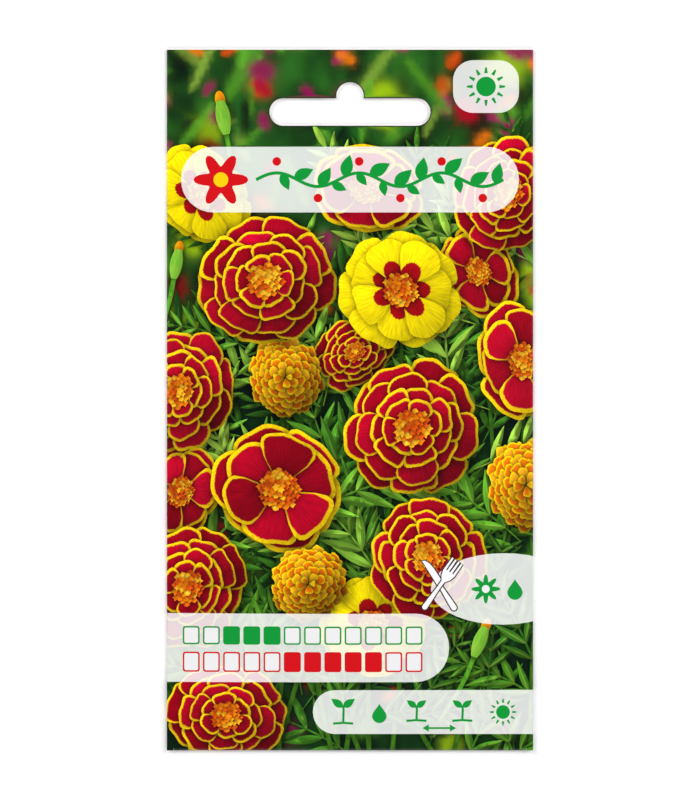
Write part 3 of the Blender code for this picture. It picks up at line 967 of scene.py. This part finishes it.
def showing_guides(shapes):
    """The pieces of the guide lines that no later shape covers."""
    pieces, numbers = [], []
    for number, shape in enumerate(shapes):
        if shape.guide is not None:
            pieces += list(zip(shape.guide[:-1], shape.guide[1:]))
            numbers += [number] * (len(shape.guide) - 1)
    if not pieces:
        return []
    middles, numbers = np.array(pieces).mean(1), np.array(numbers)
    hidden = np.zeros(len(middles), bool)
    finder = Pigeonholes(middles)
    for number, shape in enumerate(shapes):
        if shape.kind != "panel":
            spots = finder.near(shape.outline)
            spots = spots[numbers[spots] < number]
            hidden[spots[covers(shape.outline, middles[spots])]] = True
    return [piece for piece, out in zip(pieces, hidden) if not out]


# %% Paint the triangulation
SHADOW_SIDE = np.array([0.5, -0.6])


def paint_artwork(points, triangles, shapes, ground):
    """Gives each corner of each triangle its inks, light, grain and veil."""
    top, veil = topmost(points, triangles, shapes)
    places = points[triangles].reshape(-1, 2)
    owner = np.repeat(top, 3)
    by_owner = np.argsort(owner, kind="stable")
    starts = np.searchsorted(owner[by_owner], np.arange(len(shapes) + 1))
    first = ground(points)[triangles].reshape(-1, 3)
    second = first.copy()
    depth, light = np.ones(len(places)), np.ones(len(places))
    grain = np.zeros_like(places)
    corner_finder = Pigeonholes(places)
    for number, shape in enumerate(shapes):
        own = by_owner[starts[number]:starts[number + 1]]
        if len(own):
            rim = distance(shape.outline, places[own])
            depth[own], own_light, grain[own] = shape.paint(places[own], rim)
            light[own] *= own_light
            first[own], second[own] = shape.first, shape.second
        if shape.lift:
            reach = 0.22 + 0.5 * shape.lift
            spots = corner_finder.near(shape.outline, 2.5 * reach)
            spots = spots[owner[spots] < number]
            # The shadow falls to the lower right, so a point asks about the place up and left of it.
            asked = places[spots] - SHADOW_SIDE * reach * 0.6
            away = distance(shape.outline, asked) if len(spots) else np.zeros(0)
            away[covers(shape.outline, asked)] = 0
            light[spots] *= 1 - shape.shadow * np.exp(-((away / reach) ** 2))
    return dict(first=first, second=second, depth=depth, light=light, grain=grain, veil=np.repeat(veil, 3))


# %% Make a solid sheet from artwork
def stepped(route, step):
    """A polyline with points no further apart than step."""
    parts = []
    for start, end in zip(route[:-1], route[1:]):
        count = max(1, math.ceil(math.dist(start, end) / step))
        parts += [np.array(start) + (np.array(end) - np.array(start)) * i / count for i in range(count)]
    return np.array([*parts, route[-1]])


def thickened(mesh, outer_places, bare_slot=1):
    """Extrudes the inner face of the paper to its printed face, which closes the sheet's cut edges too."""
    solid = bmesh.new()
    solid.from_mesh(mesh)
    target = solid.verts.layers.float_vector.new("outer_place")
    for vert, place in zip(solid.verts, outer_places):
        vert[target] = place
    inner = list(solid.faces)
    made = bmesh.ops.extrude_face_region(solid, geom=inner, use_keep_orig=True)["geom"]
    for vert in made:
        if isinstance(vert, bmesh.types.BMVert):
            vert.co = vert[target]
    printed = {face for face in made if isinstance(face, bmesh.types.BMFace)}
    for face in solid.faces:
        face.material_index = 0 if face in printed else bare_slot
    solid.verts.layers.float_vector.remove(target)
    solid.to_mesh(mesh)
    solid.free()


def printed_sheet(name, domain, holes, folds, shapes, ground, fold, cell, materials):
    """domain is the sheet's outline, holes are cut out of it, folds are lines that no triangle may cross, and
    fold places the flat points. The solid's other side and its cut edges are bare paper."""
    low, high = domain.min(0), domain.max(0)
    shapes = [s for s in shapes if (s.outline.max(0) > low).all() and (s.outline.min(0) < high).all()]
    rough = Drawing()
    for outline in (domain, *holes, *(s.outline for s in shapes)):
        rough.add_route(outline)
    points, triangles = rough.triangulate()
    top, veil = topmost(points, triangles, shapes)
    borders = visible_borders(points, triangles, top * 2 + veil.astype(int))

    fine = Drawing()
    fine.add_route(stepped([*domain, domain[0]], cell * 1.5)[:-1])
    for hole in holes:
        fine.add_route(hole)
    creased = [stepped(fold_line, cell * 1.5) for fold_line in folds]
    for route in [*borders, *showing_guides(shapes), *creased]:
        fine.add_route(route, closed=False)
    jitter = random.Random(2)
    fine.points += [
        (x + jitter.uniform(-0.2, 0.2) * cell, y + jitter.uniform(-0.2, 0.2) * cell)
        for x in np.arange(low[0], high[0], cell)
        for y in np.arange(low[1], high[1], cell)
    ]
    points, triangles = fine.triangulate()
    middles = points[triangles].mean(1)
    kept = covers(domain, middles)
    for hole in holes:
        kept &= ~covers(hole, middles)
    used, triangles = np.unique(triangles[kept], return_inverse=True)
    points, triangles = points[used], triangles.reshape(-1, 3)
    art = paint_artwork(points, triangles, shapes, ground)

    mesh = bpy.data.meshes.new(name)
    mesh.from_pydata(fold(*points.T, -PAPER / 2).tolist(), [], triangles.tolist())
    for key in ("first", "second"):
        layer = mesh.attributes.new(key, "FLOAT_COLOR", "CORNER")
        layer.data.foreach_set("color", np.column_stack([art[key], np.ones(len(art[key]))]).ravel())
    for key in ("depth", "light", "veil"):
        mesh.attributes.new(key, "FLOAT", "CORNER").data.foreach_set("value", art[key])
    grain = np.column_stack([art["grain"], np.zeros(len(art["grain"]))])
    mesh.attributes.new("grain", "FLOAT_VECTOR", "CORNER").data.foreach_set("vector", grain.ravel())
    bake_map = (points[triangles].reshape(-1, 2) - low) / (high - low) * [0.965, 0.99]
    mesh.uv_layers.new(name="OFBake").data.foreach_set("uv", bake_map.ravel())
    for material in materials:
        mesh.materials.append(material)
    thickened(mesh, fold(*points.T, PAPER / 2).tolist())

    # The bare faces get a narrow strip of the bake map, their cut edges spread a little so that none is flat.
    corner_verts = np.zeros(len(mesh.loops), int)
    mesh.loops.foreach_get("vertex_index", corner_verts)
    bare, sizes = np.zeros(len(mesh.polygons), int), np.zeros(len(mesh.polygons), int)
    mesh.polygons.foreach_get("material_index", bare)
    mesh.polygons.foreach_get("loop_total", sizes)
    uv_flat = np.zeros(len(mesh.loops) * 2)
    mesh.uv_layers["OFBake"].data.foreach_get("uv", uv_flat)
    uv = uv_flat.reshape(-1, 2)
    on_bare = np.repeat(bare, sizes) > 0
    uv[on_bare] = uv[on_bare] * [0.015, 1] + [0.975, 0]
    uv[on_bare & (corner_verts < len(points))] += [0.004, 0.004]
    mesh.uv_layers["OFBake"].data.foreach_set("uv", uv.ravel())
    mesh.shade_smooth()
    mesh.set_sharp_from_angle(angle=math.radians(40))

    sheet = bpy.data.objects.new(name, mesh)
    bpy.context.scene.collection.objects.link(sheet)
    print(name, "has", len(triangles), "printed triangles and", len(mesh.polygons), "faces")
    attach(sheet, "root")
    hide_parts("packet_sheet")
    return sheet


# %% [markdown]
# ## Coated paper, printed
#
# The real material is thin clay-coated paper, offset printed in four colours. The coating gives a smooth
# satin gloss, and the fibres under it leave a faint unevenness. One material does the whole print: it mixes
# the two inks where the artwork says, with a noise that frays the line and draws fine veins along the grain.

# %% Printed paper
def add(tree, kind, settings=None, **links):
    """Adds a node, sets its settings and its inputs. An input is linked to a socket, or set to a value."""
    node = tree.nodes.new(kind)
    for key, value in (settings or {}).items():
        setattr(node, key, value)
    for key, value in links.items():
        socket = node.inputs[int(key[1:])] if key[1:].isdigit() else node.inputs[key.replace("_", " ")]
        if isinstance(value, bpy.types.NodeSocket):
            tree.links.new(value, socket)
        else:
            socket.default_value = value
    return node


def new_material(name):
    material = bpy.data.materials.new(name)
    material.use_nodes = True
    return material, material.node_tree, material.node_tree.nodes["Principled BSDF"]


def printed_paper():
    material, tree, shader = new_material("offset print on coated paper")
    read = {}
    for key in ("first", "second", "depth", "light", "grain", "veil"):
        read[key] = add(tree, "ShaderNodeAttribute", {"attribute_name": key})
    place = add(tree, "ShaderNodeTexCoord").outputs["Object"]

    # The grain is in millimetres, so a scale of 2 gives veins about half a millimetre apart.
    grain = read["grain"].outputs["Vector"]
    veins = add(tree, "ShaderNodeTexNoise", {}, Vector=grain, Scale=2.0, Detail=3.0).outputs["Fac"]
    fray = add(tree, "ShaderNodeMath", {"operation": "MULTIPLY_ADD"}, i0=veins, i1=0.7, i2=-0.35).outputs[0]
    depth = add(tree, "ShaderNodeMath", {"operation": "ADD"}, i0=read["depth"].outputs["Fac"], i1=fray)
    where = add(
        tree, "ShaderNodeMapRange", {"interpolation_type": "SMOOTHSTEP"},
        Value=depth.outputs[0], From_Min=-0.16, From_Max=0.16,
    )
    inks = add(
        tree, "ShaderNodeMix", {"data_type": "RGBA"},
        i0=where.outputs[0], i6=read["second"].outputs["Color"], i7=read["first"].outputs["Color"],
    )
    vein_light = add(tree, "ShaderNodeMath", {"operation": "MULTIPLY_ADD"}, i0=veins, i1=1.1, i2=0.43)
    light = add(
        tree, "ShaderNodeMath", {"operation": "MULTIPLY"},
        i0=read["light"].outputs["Fac"], i1=vein_light.outputs[0],
    )
    shaded = add(
        tree, "ShaderNodeMix", {"data_type": "RGBA", "blend_type": "MULTIPLY"},
        i0=1.0, i6=inks.outputs[2], i7=light.outputs[0],
    )
    # A pale panel is white over the picture, mixed in sRGB as a layout program does, so more of it shows.
    cover = add(tree, "ShaderNodeMath", {"operation": "MULTIPLY"}, i0=read["veil"].outputs["Fac"], i1=0.85)
    encoded = add(tree, "ShaderNodeGamma", {}, Color=shaded.outputs[2], Gamma=1 / 2.2)
    veiled = add(
        tree, "ShaderNodeMix", {"data_type": "RGBA"},
        i0=cover.outputs[0], i6=encoded.outputs[0], i7=(0.985, 0.985, 0.985, 1),
    )
    decoded = add(tree, "ShaderNodeGamma", {}, Color=veiled.outputs[2], Gamma=2.2)
    tree.links.new(decoded.outputs[0], shader.inputs["Base Color"])
    shader.inputs["Roughness"].default_value = 0.3
    shader.inputs["Specular IOR Level"].default_value = 0.13
    # Paper fibres lie about 0.4 mm apart, which is 2500 to the metre.
    fibres = add(tree, "ShaderNodeTexNoise", {}, Vector=place, Scale=2500.0, Detail=4.0)
    bump = add(tree, "ShaderNodeBump", {}, Height=fibres.outputs["Fac"], Strength=0.12, Distance=0.00002)
    tree.links.new(bump.outputs[0], shader.inputs["Normal"])
    return material


def bare_paper():
    """The uncoated side: matt, a little warm, with the fibres easier to see."""
    material, tree, shader = new_material("uncoated side of the paper")
    place = add(tree, "ShaderNodeTexCoord").outputs["Object"]
    fibres = add(tree, "ShaderNodeTexNoise", {}, Vector=place, Scale=1800.0, Detail=5.0)
    colour = add(
        tree, "ShaderNodeMix", {"data_type": "RGBA"},
        i0=fibres.outputs["Fac"], i6=(*ink("e6e1d6"), 1), i7=(*ink("f7f4ee"), 1),
    )
    tree.links.new(colour.outputs[2], shader.inputs["Base Color"])
    shader.inputs["Roughness"].default_value = 0.85
    bump = add(tree, "ShaderNodeBump", {}, Height=fibres.outputs["Fac"], Strength=0.2, Distance=0.00003)
    tree.links.new(bump.outputs[0], shader.inputs["Normal"])
    return material


paper_materials = (printed_paper(), bare_paper())

# %% [markdown]
# ## The front, with its folds
#
# The front panel's artwork bleeds over the half turns at its sides and foot, as it has to on a real packet,
# where a fold is never exactly on the print's edge.

# %% Front panel
half_turn = math.pi * PITCH
foot_turn = math.pi * BOTTOM_RADIUS
side_end = SIDE_CREASE + half_turn
right_side = np.array(
    [
        (FLAP_SIDE, BOTTOM_CREASE - foot_turn),
        (FLAP_SIDE, BOTTOM_CREASE),
        (FLAP_SIDE + SLIT, BOTTOM_CREASE),
        (FLAP_SIDE + SLIT, -HEIGHT / 2),
        (side_end, -HEIGHT / 2),
        (side_end, HEIGHT / 2),
    ]
)
front_domain = np.concatenate([right_side, right_side[::-1] * [-1, 1]])
FOLD_STEPS = 6
fold_lines = [[(-FLAP_SIDE, BOTTOM_CREASE), (FLAP_SIDE, BOTTOM_CREASE)]]
for i in range(FOLD_STEPS):
    u, v = SIDE_CREASE + half_turn * i / FOLD_STEPS, BOTTOM_CREASE - foot_turn * i / FOLD_STEPS
    fold_lines += [[(u, -HEIGHT / 2), (u, HEIGHT / 2)], [(-u, -HEIGHT / 2), (-u, HEIGHT / 2)]]
    fold_lines.append([(-FLAP_SIDE, v), (FLAP_SIDE, v)])
printed_sheet(
    "printed_front", front_domain, [slot], fold_lines, [*picture, hairline, *panels, *signs],
    background_ink, fold_front, 1.0, paper_materials,
)


# %% [markdown]
# ## The flaps behind
#
# The right flap lies outermost, the left one climbs onto its inner face, and the bottom flap folds up over
# both. The half turns already belong to the front panel, so each flap starts where its half turn ends.

# %% Side flaps and bottom flap
def flap_height(v):
    return PAPER / 2 + back_rise(v)


def fold_right_flap(s, t, lift):
    return np.stack([-s, t, flap_height(t) - lift], 1) * MM


def fold_left_flap(s, t, lift):
    climb = PITCH * smoothstep(-LAP_REACH - STEP_LENGTH, -LAP_REACH, -s)
    return np.stack([-s, t, flap_height(t) + climb - lift], 1) * MM


def fold_bottom_flap(s, t, lift):
    taper = 1 - BOTTOM_FLAP_TAPER * (t - BOTTOM_CREASE) / BOTTOM_FLAP
    return np.stack([-s * taper, t, np.full_like(t, PAPER / 2 - lift)], 1) * MM


def box_outline(low, high):
    (x0, y0), (x1, y1) = low, high
    return np.array([(x0, y0), (x1, y0), (x1, y1), (x0, y1)])


back_slot = slot * [-1, 1]
back_hairline = stamp(hairline.outline * [-1, 1], hairline.first)
back_art = [*back, back_hairline]
lap_lines = [[(s, BOTTOM_CREASE), (s, HEIGHT / 2)] for s in (6, 8, 10, 12)]
printed_sheet(
    "right_flap", box_outline((-SIDE_CREASE, BOTTOM_CREASE), (LAP_REACH, HEIGHT / 2)), [back_slot],
    [], back_art, plain_ground(FIELD), fold_right_flap, 2.5, paper_materials,
)
printed_sheet(
    "left_flap", box_outline((-LAP_REACH, BOTTOM_CREASE), (SIDE_CREASE, HEIGHT / 2)), [back_slot],
    lap_lines, back_art, plain_ground(FIELD), fold_left_flap, 2.5, paper_materials,
)
flap_art = [stamp(box_outline((-EDGE, BOTTOM_CREASE + 12.4), (EDGE, BOTTOM_CREASE + 12.9)), FIELD)]
flap_art += garland((-26, BOTTOM_CREASE + 6.2), (26, BOTTOM_CREASE + 6.2), 3, 1.2, FIELD, GOLD)
printed_sheet(
    "bottom_flap", box_outline((-FLAP_SIDE, BOTTOM_CREASE), (FLAP_SIDE, BOTTOM_CREASE + BOTTOM_FLAP)), [],
    [], flap_art, plain_ground(BAND_GREEN), fold_bottom_flap, 2.5, paper_materials,
)

# %% [markdown]
# ## The sachet inside
#
# The seed doesn't lie loose in the packet. It is in a small sachet of glassine, a glossy translucent paper:
# one leaf folded along its left side, arched over the seed and pressed shut on its three other sides. A grid
# is laid out flat, folded by a function like the packet's own, and extruded to the paper's thickness.

# %% Sachet
SACHET_PAPER = 0.15
SACHET_PITCH = SACHET_PAPER + 0.10
SACHET_RADIUS = SACHET_PITCH / 2
SACHET_HALF_WIDTH, SACHET_FOOT, SACHET_HEAD, SACHET_SEAL = 26.0, -56.0, 16.0, 5.0
SACHET_CROWN = 1.72
SACHET_CREASE = -SACHET_HALF_WIDTH + SACHET_PAPER / 2 + SACHET_RADIUS
LOWER_LEAF = PAPER + PITCH + 0.3 + SACHET_PAPER / 2
SEED_PATCH = (13.0, 17.0)


def sachet_crown(x, y):
    """0 along the pressed edges and 1 over the seed."""
    inside = SACHET_HALF_WIDTH - SACHET_SEAL
    foot, head = SACHET_FOOT + SACHET_SEAL, SACHET_HEAD - SACHET_SEAL
    across = smoothstep(0, inside - SEED_PATCH[0], inside - np.abs(x))
    return across * smoothstep(foot, foot + 10, y) * (1 - smoothstep(head - 11, head, y))


def fold_sachet(u, v, lift):
    """u runs from the lower leaf's free edge, round the fold on the left, to the upper leaf's free edge."""
    turn = np.clip(-u / SACHET_RADIUS, 0, math.pi)
    past = np.maximum(0, -u - math.pi * SACHET_RADIUS)
    x = SACHET_CREASE + np.maximum(0, u) + past - (SACHET_RADIUS + lift) * np.sin(turn)
    z = LOWER_LEAF + SACHET_RADIUS + (SACHET_RADIUS + lift) * np.cos(turn)
    return np.stack([x, v, z + np.where(u >= 0, SACHET_CROWN * sachet_crown(x, v), 0)], 1) * MM


leaf_width = SACHET_HALF_WIDTH - SACHET_CREASE
sachet_turn = math.pi * SACHET_RADIUS
lower_lines = np.linspace(-sachet_turn - leaf_width, -sachet_turn, 14)[:-1]
turn_lines = np.linspace(-sachet_turn, 0, 7)[:-1]
u_lines = np.array([*lower_lines, *turn_lines, *np.linspace(0, leaf_width, 36)])
v_lines = np.linspace(SACHET_FOOT, SACHET_HEAD, 49)
flat = bmesh.new()
bmesh.ops.create_grid(flat, x_segments=len(u_lines) - 1, y_segments=len(v_lines) - 1, size=0.5)
cells = np.array([vert.co[:2] for vert in flat.verts]) + 0.5
flat_u = u_lines[np.rint(cells[:, 0] * (len(u_lines) - 1)).astype(int)]
flat_v = v_lines[np.rint(cells[:, 1] * (len(v_lines) - 1)).astype(int)]
for vert, place in zip(flat.verts, fold_sachet(flat_u, flat_v, -SACHET_PAPER / 2)):
    vert.co = place
sachet_mesh = bpy.data.meshes.new("glassine_sachet")
flat.to_mesh(sachet_mesh)
flat.free()


def glassine():
    """Glassine is pressed until its fibres close: it is smooth and lets light through, with faint clouds."""
    material, tree, shader = new_material("glassine paper")
    place = add(tree, "ShaderNodeTexCoord").outputs["Object"]
    # The clouds in the paper are about 3 mm across, which is 330 to the metre.
    clouds = add(tree, "ShaderNodeTexNoise", {}, Vector=place, Scale=330.0, Detail=5.0)
    colour = add(
        tree, "ShaderNodeMix", {"data_type": "RGBA"},
        i0=clouds.outputs["Fac"], i6=(*ink("ddd5bd"), 1), i7=(*ink("f1ecdc"), 1),
    )
    tree.links.new(colour.outputs[2], shader.inputs["Base Color"])
    shader.inputs["Roughness"].default_value = 0.3
    shader.inputs["Transmission Weight"].default_value = 0.3
    shader.inputs["IOR"].default_value = 1.47
    bump = add(tree, "ShaderNodeBump", {}, Height=clouds.outputs["Fac"], Strength=0.25, Distance=0.00005)
    tree.links.new(bump.outputs[0], shader.inputs["Normal"])
    return material


sachet_mesh.materials.append(glassine())
thickened(sachet_mesh, fold_sachet(flat_u, flat_v, SACHET_PAPER / 2), bare_slot=0)
sachet = bpy.data.objects.new("glassine_sachet", sachet_mesh)
bpy.context.scene.collection.objects.link(sachet)
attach(sachet, "root")
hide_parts("seed_sachet")
print("sachet has", len(sachet_mesh.polygons), "faces")

# %% [markdown]
# ## The seeds
#
# A marigold seed is a long thin husk, black and ribbed, with a tuft of straw-coloured bristles. Each is a
# row of circles bridged into a spindle, with a few thin cones for bristles. Every seed lies across an
# earlier one, as near as it comes to its own spot on a spiral, which makes one shallow pile.

# %% Where each seed lies
SEED_COUNT, SEED_LENGTH, SEED_RADIUS, SEED_CROSSING = 46, 9.0, 0.45, 3.0
SEED_HEIGHT = LOWER_LEAF + SACHET_PAPER / 2 + 0.3 + SEED_RADIUS
PATCH_MIDDLE = -22.0


def lay_across(place, chance):
    """A place and heading for a seed that lies across the one at the given place."""
    x, y, heading = place
    crossing = chance.uniform(-SEED_CROSSING, SEED_CROSSING)
    own_crossing = chance.uniform(-SEED_CROSSING, SEED_CROSSING)
    own_heading = heading + chance.uniform(math.radians(35), math.radians(145))
    x += crossing * math.cos(heading) - own_crossing * math.cos(own_heading)
    y += crossing * math.sin(heading) - own_crossing * math.sin(own_heading)
    return x, y, own_heading


seed_chance = random.Random(5)
seed_places = [(0, PATCH_MIDDLE, 0.6)]
for i in range(1, SEED_COUNT):
    share, bearing = math.sqrt(i / SEED_COUNT), i * math.pi * (3 - math.sqrt(5))
    across, along = share * SEED_PATCH[0] * math.cos(bearing), share * SEED_PATCH[1] * math.sin(bearing)
    spot = (across, PATCH_MIDDLE + along)
    nearest = min(seed_places, key=lambda place: math.dist(place[:2], spot))
    tries = [lay_across(nearest, seed_chance) for _ in range(12)]
    seed_places.append(min(tries, key=lambda place: math.dist(place[:2], spot)))


# %% Husks and bristles
def husk_material(name, dark, light, roughness):
    """A dry husk is matt, with fine ribs that catch the light along their crests."""
    material, tree, shader = new_material(name)
    place = add(tree, "ShaderNodeTexCoord").outputs["Object"]
    # The ribs and specks are about 0.2 mm across, which is 5000 to the metre.
    specks = add(tree, "ShaderNodeTexNoise", {}, Vector=place, Scale=5000.0, Detail=3.0)
    colour = add(
        tree, "ShaderNodeMix", {"data_type": "RGBA"},
        i0=specks.outputs["Fac"], i6=(*ink(dark), 1), i7=(*ink(light), 1),
    )
    tree.links.new(colour.outputs[2], shader.inputs["Base Color"])
    shader.inputs["Roughness"].default_value = roughness
    bump = add(tree, "ShaderNodeBump", {}, Height=specks.outputs["Fac"], Strength=0.4, Distance=0.00005)
    tree.links.new(bump.outputs[0], shader.inputs["Normal"])
    return material


HUSK_STATIONS = ((-0.5, 0.12), (-0.44, 0.4), (-0.3, 0.7), (-0.05, 0.92), (0.12, 0.86), (0.22, 0.5))
pile = bmesh.new()
for i, (x, y, heading) in enumerate(seed_places):
    own, rings = [], []
    for along, share in HUSK_STATIONS:
        loop = bmesh.ops.create_circle(pile, segments=8, radius=SEED_RADIUS * share)["verts"]
        for k, vert in enumerate(loop):
            ridge = 1.0 if k % 2 else 0.86
            vert.co = (along * SEED_LENGTH, vert.co.x * ridge, vert.co.y * ridge)
        rings.append(set(loop))
        own += loop
    for pair in zip(rings, rings[1:]):
        both = set.union(*pair)
        bmesh.ops.bridge_loops(pile, edges=[edge for edge in pile.edges if both.issuperset(edge.verts)])
    ends = [edge for edge in pile.edges if edge.is_boundary and (rings[0] | rings[-1]).issuperset(edge.verts)]
    bmesh.ops.holes_fill(pile, edges=ends)
    for k in range(6):
        bristle = bmesh.ops.create_cone(
            pile, cap_ends=True, segments=3, radius1=0.07, radius2=0.02, depth=0.27 * SEED_LENGTH
        )["verts"]
        flare = k * math.pi / 3
        for vert in bristle:
            along = vert.co.z + 0.135 * SEED_LENGTH
            out = 0.12 + 0.1 * along
            side, up = out * math.cos(flare) + vert.co.x, out * math.sin(flare) + vert.co.y
            vert.co = (0.215 * SEED_LENGTH + along, side, up)
            for face in vert.link_faces:
                face.material_index = 1
        own += bristle
    height = SEED_HEIGHT + (i % 2) * 0.3
    cos, sin = math.cos(heading), math.sin(heading)
    for vert in own:
        along, side, up = vert.co
        vert.co = (x + along * cos - side * sin, y + along * sin + side * cos, height + up)
bmesh.ops.scale(pile, vec=(MM, MM, MM), verts=pile.verts)
bmesh.ops.recalc_face_normals(pile, faces=pile.faces)
seed_mesh = bpy.data.meshes.new("seed_pile")
pile.to_mesh(seed_mesh)
pile.free()
seed_mesh.materials.append(husk_material("dry black seed husk", "1b1613", "3a3029", 0.6))
seed_mesh.materials.append(husk_material("straw bristles", "c9ab6b", "e6cf98", 0.7))
seed_mesh.shade_smooth()
seed_mesh.set_sharp_from_angle(angle=math.radians(50))
seeds = bpy.data.objects.new("seed_pile", seed_mesh)
bpy.context.scene.collection.objects.link(seeds)
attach(seeds, "root")
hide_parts("marigold_seeds")
print(SEED_COUNT, "seeds with", len(seed_mesh.polygons), "faces")

# %% [markdown]
# ## Floor, light and camera
#
# The packet lies on a plain white table and is photographed from straight above, so the camera looks down
# with the packet filling the frame's height as in the photograph. A long lens keeps its sides parallel. Large
# lamps from the sides light the print without a glare, which a bright sky straight above would give.

# %% Floor
def white_floor():
    material, tree, shader = new_material("matt white table")
    shader.inputs["Base Color"].default_value = (*ink("ffffff"), 1)
    shader.inputs["Roughness"].default_value = 0.9
    shader.inputs["Specular IOR Level"].default_value = 0.0
    return material


FLOOR_HALF = 1.5
plane = bmesh.new()
bmesh.ops.create_grid(plane, x_segments=2, y_segments=2, size=FLOOR_HALF)
floor_mesh = bpy.data.meshes.new("floor")
plane.to_mesh(floor_mesh)
plane.free()
floor = bpy.data.objects.new("floor", floor_mesh)
floor.location.z = -0.00005
floor_mesh.materials.append(white_floor())
bpy.context.scene.collection.objects.link(floor)

# %% Light
scene = bpy.context.scene
scene.view_settings.view_transform = "Standard"
world = bpy.data.worlds.new("pale studio")
world.use_nodes = True
world.node_tree.nodes["Background"].inputs["Color"].default_value = (1, 1, 1, 1)
world.node_tree.nodes["Background"].inputs["Strength"].default_value = 0.22
scene.world = world


def softbox(name, place, size, power):
    lamp = bpy.data.lights.new(name, "AREA")
    lamp.size, lamp.energy = size, power
    box = bpy.data.objects.new(name, lamp)
    box.location = place
    box.rotation_euler = (-Vector(place)).to_track_quat("-Z", "Y").to_euler()
    scene.collection.objects.link(box)


softbox("key softbox", (-0.75, 0.55, 0.7), 0.7, 7.2)
softbox("fill softbox", (0.8, 0.4, 0.75), 0.7, 7.0)
softbox("foot softbox", (0.1, -1.0, 0.8), 0.7, 7.0)

# %% Camera
PHOTO_HEIGHT, PACKET_PIXELS = 800, 700
camera_data = bpy.data.cameras.new("camera")
camera_data.lens = 150.0
camera_data.sensor_width = 36.0
camera_data.clip_start = 0.01
camera = bpy.data.objects.new("camera", camera_data)
frame_height = HEIGHT * MM * PHOTO_HEIGHT / PACKET_PIXELS
camera.location = (0, 0, frame_height * camera_data.lens / camera_data.sensor_width)
scene.collection.objects.link(camera)
scene.camera = camera
print("camera is", round(camera.location.z, 3), "m above the table")
